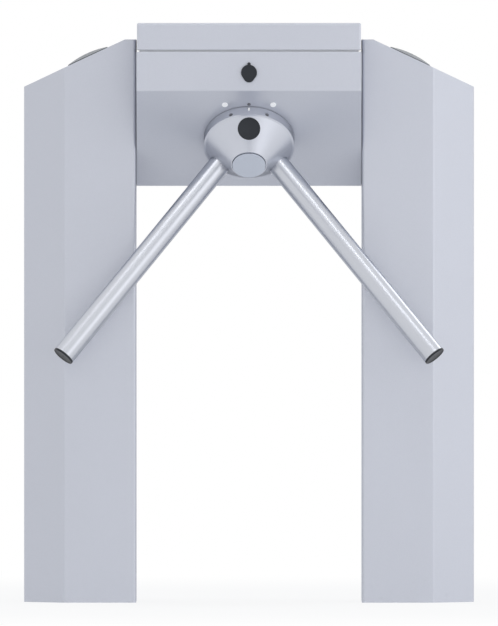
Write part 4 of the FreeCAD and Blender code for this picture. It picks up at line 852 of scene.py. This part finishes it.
# %% [markdown]
# ## Screw heads on the terminals
# Wires are clamped under slotted screws on the control board and on the power supply. A dark line would
# do from far off, but the slot is easy to model: four cuts with a plane part the top into nine faces,
# and the one in the middle is inset and sunk. One head is then repeated at every clamp.

# %% A slotted screw head
SCREW_R = 2.6 * MM
SCREW_TOP_R = 2.4 * MM
SCREW_HIGH = 1.2 * MM
SCREW_SIDES = 24
SLOT_HALF_LONG = 0.75 * SCREW_R
SLOT_HALF_WIDE = 0.16 * SCREW_R
SLOT_DEPTH = 0.6 * MM
SLOT_DRAFT = 0.05 * MM


def slotted_head():
    """Screw head that stands on its foot, with a slot along x."""
    shape = bmesh.new()
    bmesh.ops.create_cone(
        shape, cap_ends=True, segments=SCREW_SIDES, radius1=SCREW_R, radius2=SCREW_TOP_R,
        depth=SCREW_HIGH, matrix=Matrix.Translation((0, 0, SCREW_HIGH / 2)),
    )
    for across in (Vector((SLOT_HALF_LONG, 0, 0)), Vector((0, SLOT_HALF_WIDE, 0))):
        for side in SIDES:
            whole = shape.verts[:] + shape.edges[:] + shape.faces[:]
            bmesh.ops.bisect_plane(shape, geom=whole, plane_co=across * side, plane_no=across.normalized())
    top = Vector((0, 0, SCREW_HIGH))
    slot = min(shape.faces, key=lambda face: (face.calc_center_median() - top).length)
    bmesh.ops.inset_region(shape, faces=[slot], thickness=SLOT_DRAFT, depth=-SLOT_DEPTH)
    return shape


print("slot is", round(2 * SLOT_HALF_LONG / MM, 1), "mm long")

# %% Screws at every clamp
CLAMP_PITCH = 10 * MM
BOARD_CLAMPS = 9
BOARD_CLAMP_FIRST = 25 * MM  # from the board's left and lower edges, and out from its front
BOARD_CLAMP_UP = 17 * MM
BOARD_CLAMP_OUT = 11 * MM
SUPPLY_CLAMPS = 7
SUPPLY_CLAMP_FIRST = 15 * MM  # from the supply's front
STRIP_TOP = 29 * MM


def on_board(right, up, out=0.0):
    """Matrix on the control board, with its z axis out of the board's front."""
    return standing((board_low.x + right, board_high.y - BOARD_FACE - out, board_low.z + up), (0, -1, 0))


def on_strip(back):
    """Matrix on the power supply's terminal strip, so far behind the supply's front."""
    middle = supply_low + Vector((STRIP_WIDE / 2, back, STRIP_TOP))
    return Matrix.Translation(middle)


rights = row(BOARD_CLAMP_FIRST, CLAMP_PITCH, BOARD_CLAMPS)
backs = row(SUPPLY_CLAMP_FIRST, CLAMP_PITCH, SUPPLY_CLAMPS)
clamps = [on_board(right, BOARD_CLAMP_UP, BOARD_CLAMP_OUT) for right in rights]
clamps += [on_strip(back) for back in backs]
piece("terminal_screws", repeated(slotted_head(), clamps), "zinc_steel", "frame")

# %% [markdown]
# ## Parts on the control board
# Behind the mechanism hangs the board that drives the gate. Besides its relays it carries filter
# capacitors, which are drawn aluminium cans with a crimped foot, and a pin header for service. The cans
# are spun, and the pins are slim cones with four sides, so a whole row costs only a few dozen faces.

# %% Capacitors
CAN_R = 5 * MM
CAN_HIGH = 13 * MM
CAN_SIDES = 32
CAN_RIGHT = 100 * MM  # middle of the first can from the board's left and lower edges
CAN_UP = 38 * MM
CAN_PITCH = 13 * MM
CAN_ROW_PITCH = 14 * MM
CANS_EACH_WAY = 2
CAN_SHOULDER = 0.8 * MM
VENT_R = 3.4 * MM  # flat vent in the middle of the top
VENT_SEAM = 0.3 * MM
BEAD_R = 4.2 * MM  # raised ring round the vent
BEAD_RISE = 0.1 * MM
BEAD_FALL = 0.2 * MM
CRIMP_R = 4.5 * MM
CRIMP_LOW = 1.4 * MM
CRIMP_HIGH = 3.0 * MM
CRIMP_SLOPE = 0.4 * MM
can_top = [
    (0, CAN_HIGH), (VENT_R, CAN_HIGH), (VENT_R + VENT_SEAM, CAN_HIGH - BEAD_FALL),
    (BEAD_R, CAN_HIGH + BEAD_RISE), (CAN_R - BEAD_FALL, CAN_HIGH - BEAD_FALL),
    (CAN_R, CAN_HIGH - CAN_SHOULDER),
]
can_foot = [
    (CAN_R, CRIMP_HIGH), (CRIMP_R, CRIMP_HIGH - CRIMP_SLOPE), (CRIMP_R, CRIMP_LOW + CRIMP_SLOPE),
    (CAN_R, CRIMP_LOW), (CAN_R, 0), (0, 0),
]
can_rights = row(CAN_RIGHT, CAN_PITCH, CANS_EACH_WAY)
can_ups = row(CAN_UP, CAN_ROW_PITCH, CANS_EACH_WAY)
can_places = [on_board(right, up) for up in can_ups for right in can_rights]
piece("capacitors", repeated(spun(can_top + can_foot, CAN_SIDES), can_places), "cast_aluminium", "frame")

# %% Header pins
PIN_PITCH = 2.54 * MM
PIN_HIGH = 8.5 * MM
PIN_R = 0.45 * MM
PIN_TIP_R = 0.3 * MM
PIN_SIDES = 4
HEADER_PINS = 12
HEADER_ROWS = 2
HEADER_RIGHT = 60 * MM
HEADER_UP = 100 * MM
header_place = on_board(HEADER_RIGHT, HEADER_UP)
pin = bmesh.new()
bmesh.ops.create_cone(
    pin, cap_ends=True, segments=PIN_SIDES, radius1=PIN_R, radius2=PIN_TIP_R,
    depth=PIN_HIGH, matrix=Matrix.Translation((0, 0, PIN_HIGH / 2)),
)
pin_places = [
    header_place @ Matrix.Translation((right, up, 0))
    for right in row(PIN_PITCH / 2, PIN_PITCH, HEADER_PINS)
    for up in row(PIN_PITCH / 2, PIN_PITCH, HEADER_ROWS)
]
piece("header_pins", repeated(pin, pin_places), "brass", "frame")

# %% Header block
HEADER_HIGH = 2.5 * MM
HEADER_ROUND = 0.3 * MM
header_size = Vector((PIN_PITCH * HEADER_PINS, PIN_PITCH * HEADER_ROWS, HEADER_HIGH))
header = bmesh.new()
bmesh.ops.create_cube(header, size=1, matrix=Matrix.Translation((0.5, 0.5, 0.5)))
bmesh.ops.scale(header, vec=header_size, verts=header.verts[:])
bmesh.ops.bevel(
    header, geom=header.edges[:], offset=HEADER_ROUND, offset_type="OFFSET",
    affect="EDGES", segments=2, profile=0.5, material=-1,
)
bmesh.ops.transform(header, matrix=header_place, verts=header.verts[:])
piece("header_block", header, "black_plastic", "frame")

# %% [markdown]
# ## Drive motor and solenoids
# The motor that turns the hub has a can with cooling ribs and a bearing boss on its back cover, and each
# locking solenoid is wound with wire under a clear varnish. Both are round about their own axis, so ribs
# and turns are steps in a spun section. The turns of the wire lie closed, and rings look just like them.

# %% Motor can
MOTOR_DOWN = 72 * MM  # motor axis below the hub axis
MOTOR_R = 22.2 * MM
MOTOR_BACK = -200 * MM  # heights are along the hub axis, from the sloping panel
MOTOR_COVER = -197.6 * MM
MOTOR_FRONT = -149.5 * MM
COVER_CHAMFER = 1.6 * MM
FRONT_R = 21 * MM
FRONT_FALL = 0.5 * MM
BOSS_R = 6.6 * MM
BOSS_CHAMFER = 0.6 * MM
RIB_COUNT = 9
RIB_PITCH = 4.6 * MM
RIB_FIRST = -193 * MM
RIB_R = 23.4 * MM
RIB_WIDE = 2.0 * MM
RIB_DRAFT = 0.3 * MM
motor_section = [
    (0, MOTOR_BACK), (BOSS_R - BOSS_CHAMFER, MOTOR_BACK), (BOSS_R, MOTOR_BACK + BOSS_CHAMFER),
    (BOSS_R, MOTOR_COVER), (MOTOR_R - COVER_CHAMFER, MOTOR_COVER), (MOTOR_R, MOTOR_COVER + COVER_CHAMFER),
]
for low in row(RIB_FIRST, RIB_PITCH, RIB_COUNT):
    high = low + RIB_WIDE
    motor_section += [(MOTOR_R, low), (RIB_R, low + RIB_DRAFT), (RIB_R, high - RIB_DRAFT), (MOTOR_R, high)]
motor_section += [(MOTOR_R, MOTOR_FRONT - FRONT_FALL), (FRONT_R, MOTOR_FRONT), (0, MOTOR_FRONT)]
motor_place = hub_place @ Matrix.Translation((0, -MOTOR_DOWN, 0))
piece("motor_can", repeated(spun(motor_section), [motor_place]), "motor_paint", "frame")

# %% Solenoid windings
COIL_OUT = 106 * MM
COIL_DEPTH = -88 * MM
COIL_LOW = -62.6 * MM
COIL_BORE_R = 9.4 * MM
COIL_TURNS = 34
WIRE = 0.8 * MM
WIRE_FOOT_R = 9.55 * MM  # where two turns touch, and the crest of a turn
WIRE_CREST_R = 9.85 * MM
CREST_START = 0.3 * WIRE
CREST_END = 0.7 * WIRE
COIL_HIGH = WIRE * COIL_TURNS


def coil_place(side):
    """Matrix of one solenoid, with its z axis up along the panel."""
    foot = Matrix.Translation((side * COIL_OUT, COIL_LOW, COIL_DEPTH))
    return hub_place @ foot @ Matrix.Rotation(-math.pi / 2, 4, "X")


coil_section = [(COIL_BORE_R, 0)]
for low in row(0, WIRE, COIL_TURNS):
    coil_section += [(WIRE_FOOT_R, low), (WIRE_CREST_R, low + CREST_START), (WIRE_CREST_R, low + CREST_END)]
coil_section += [(WIRE_FOOT_R, COIL_HIGH), (COIL_BORE_R, COIL_HIGH), (COIL_BORE_R, 0)]
coil_places = [coil_place(side) for side in SIDES]
piece("solenoid_windings", repeated(spun(coil_section, CAN_SIDES), coil_places), "brass", "frame")

# %% [markdown]
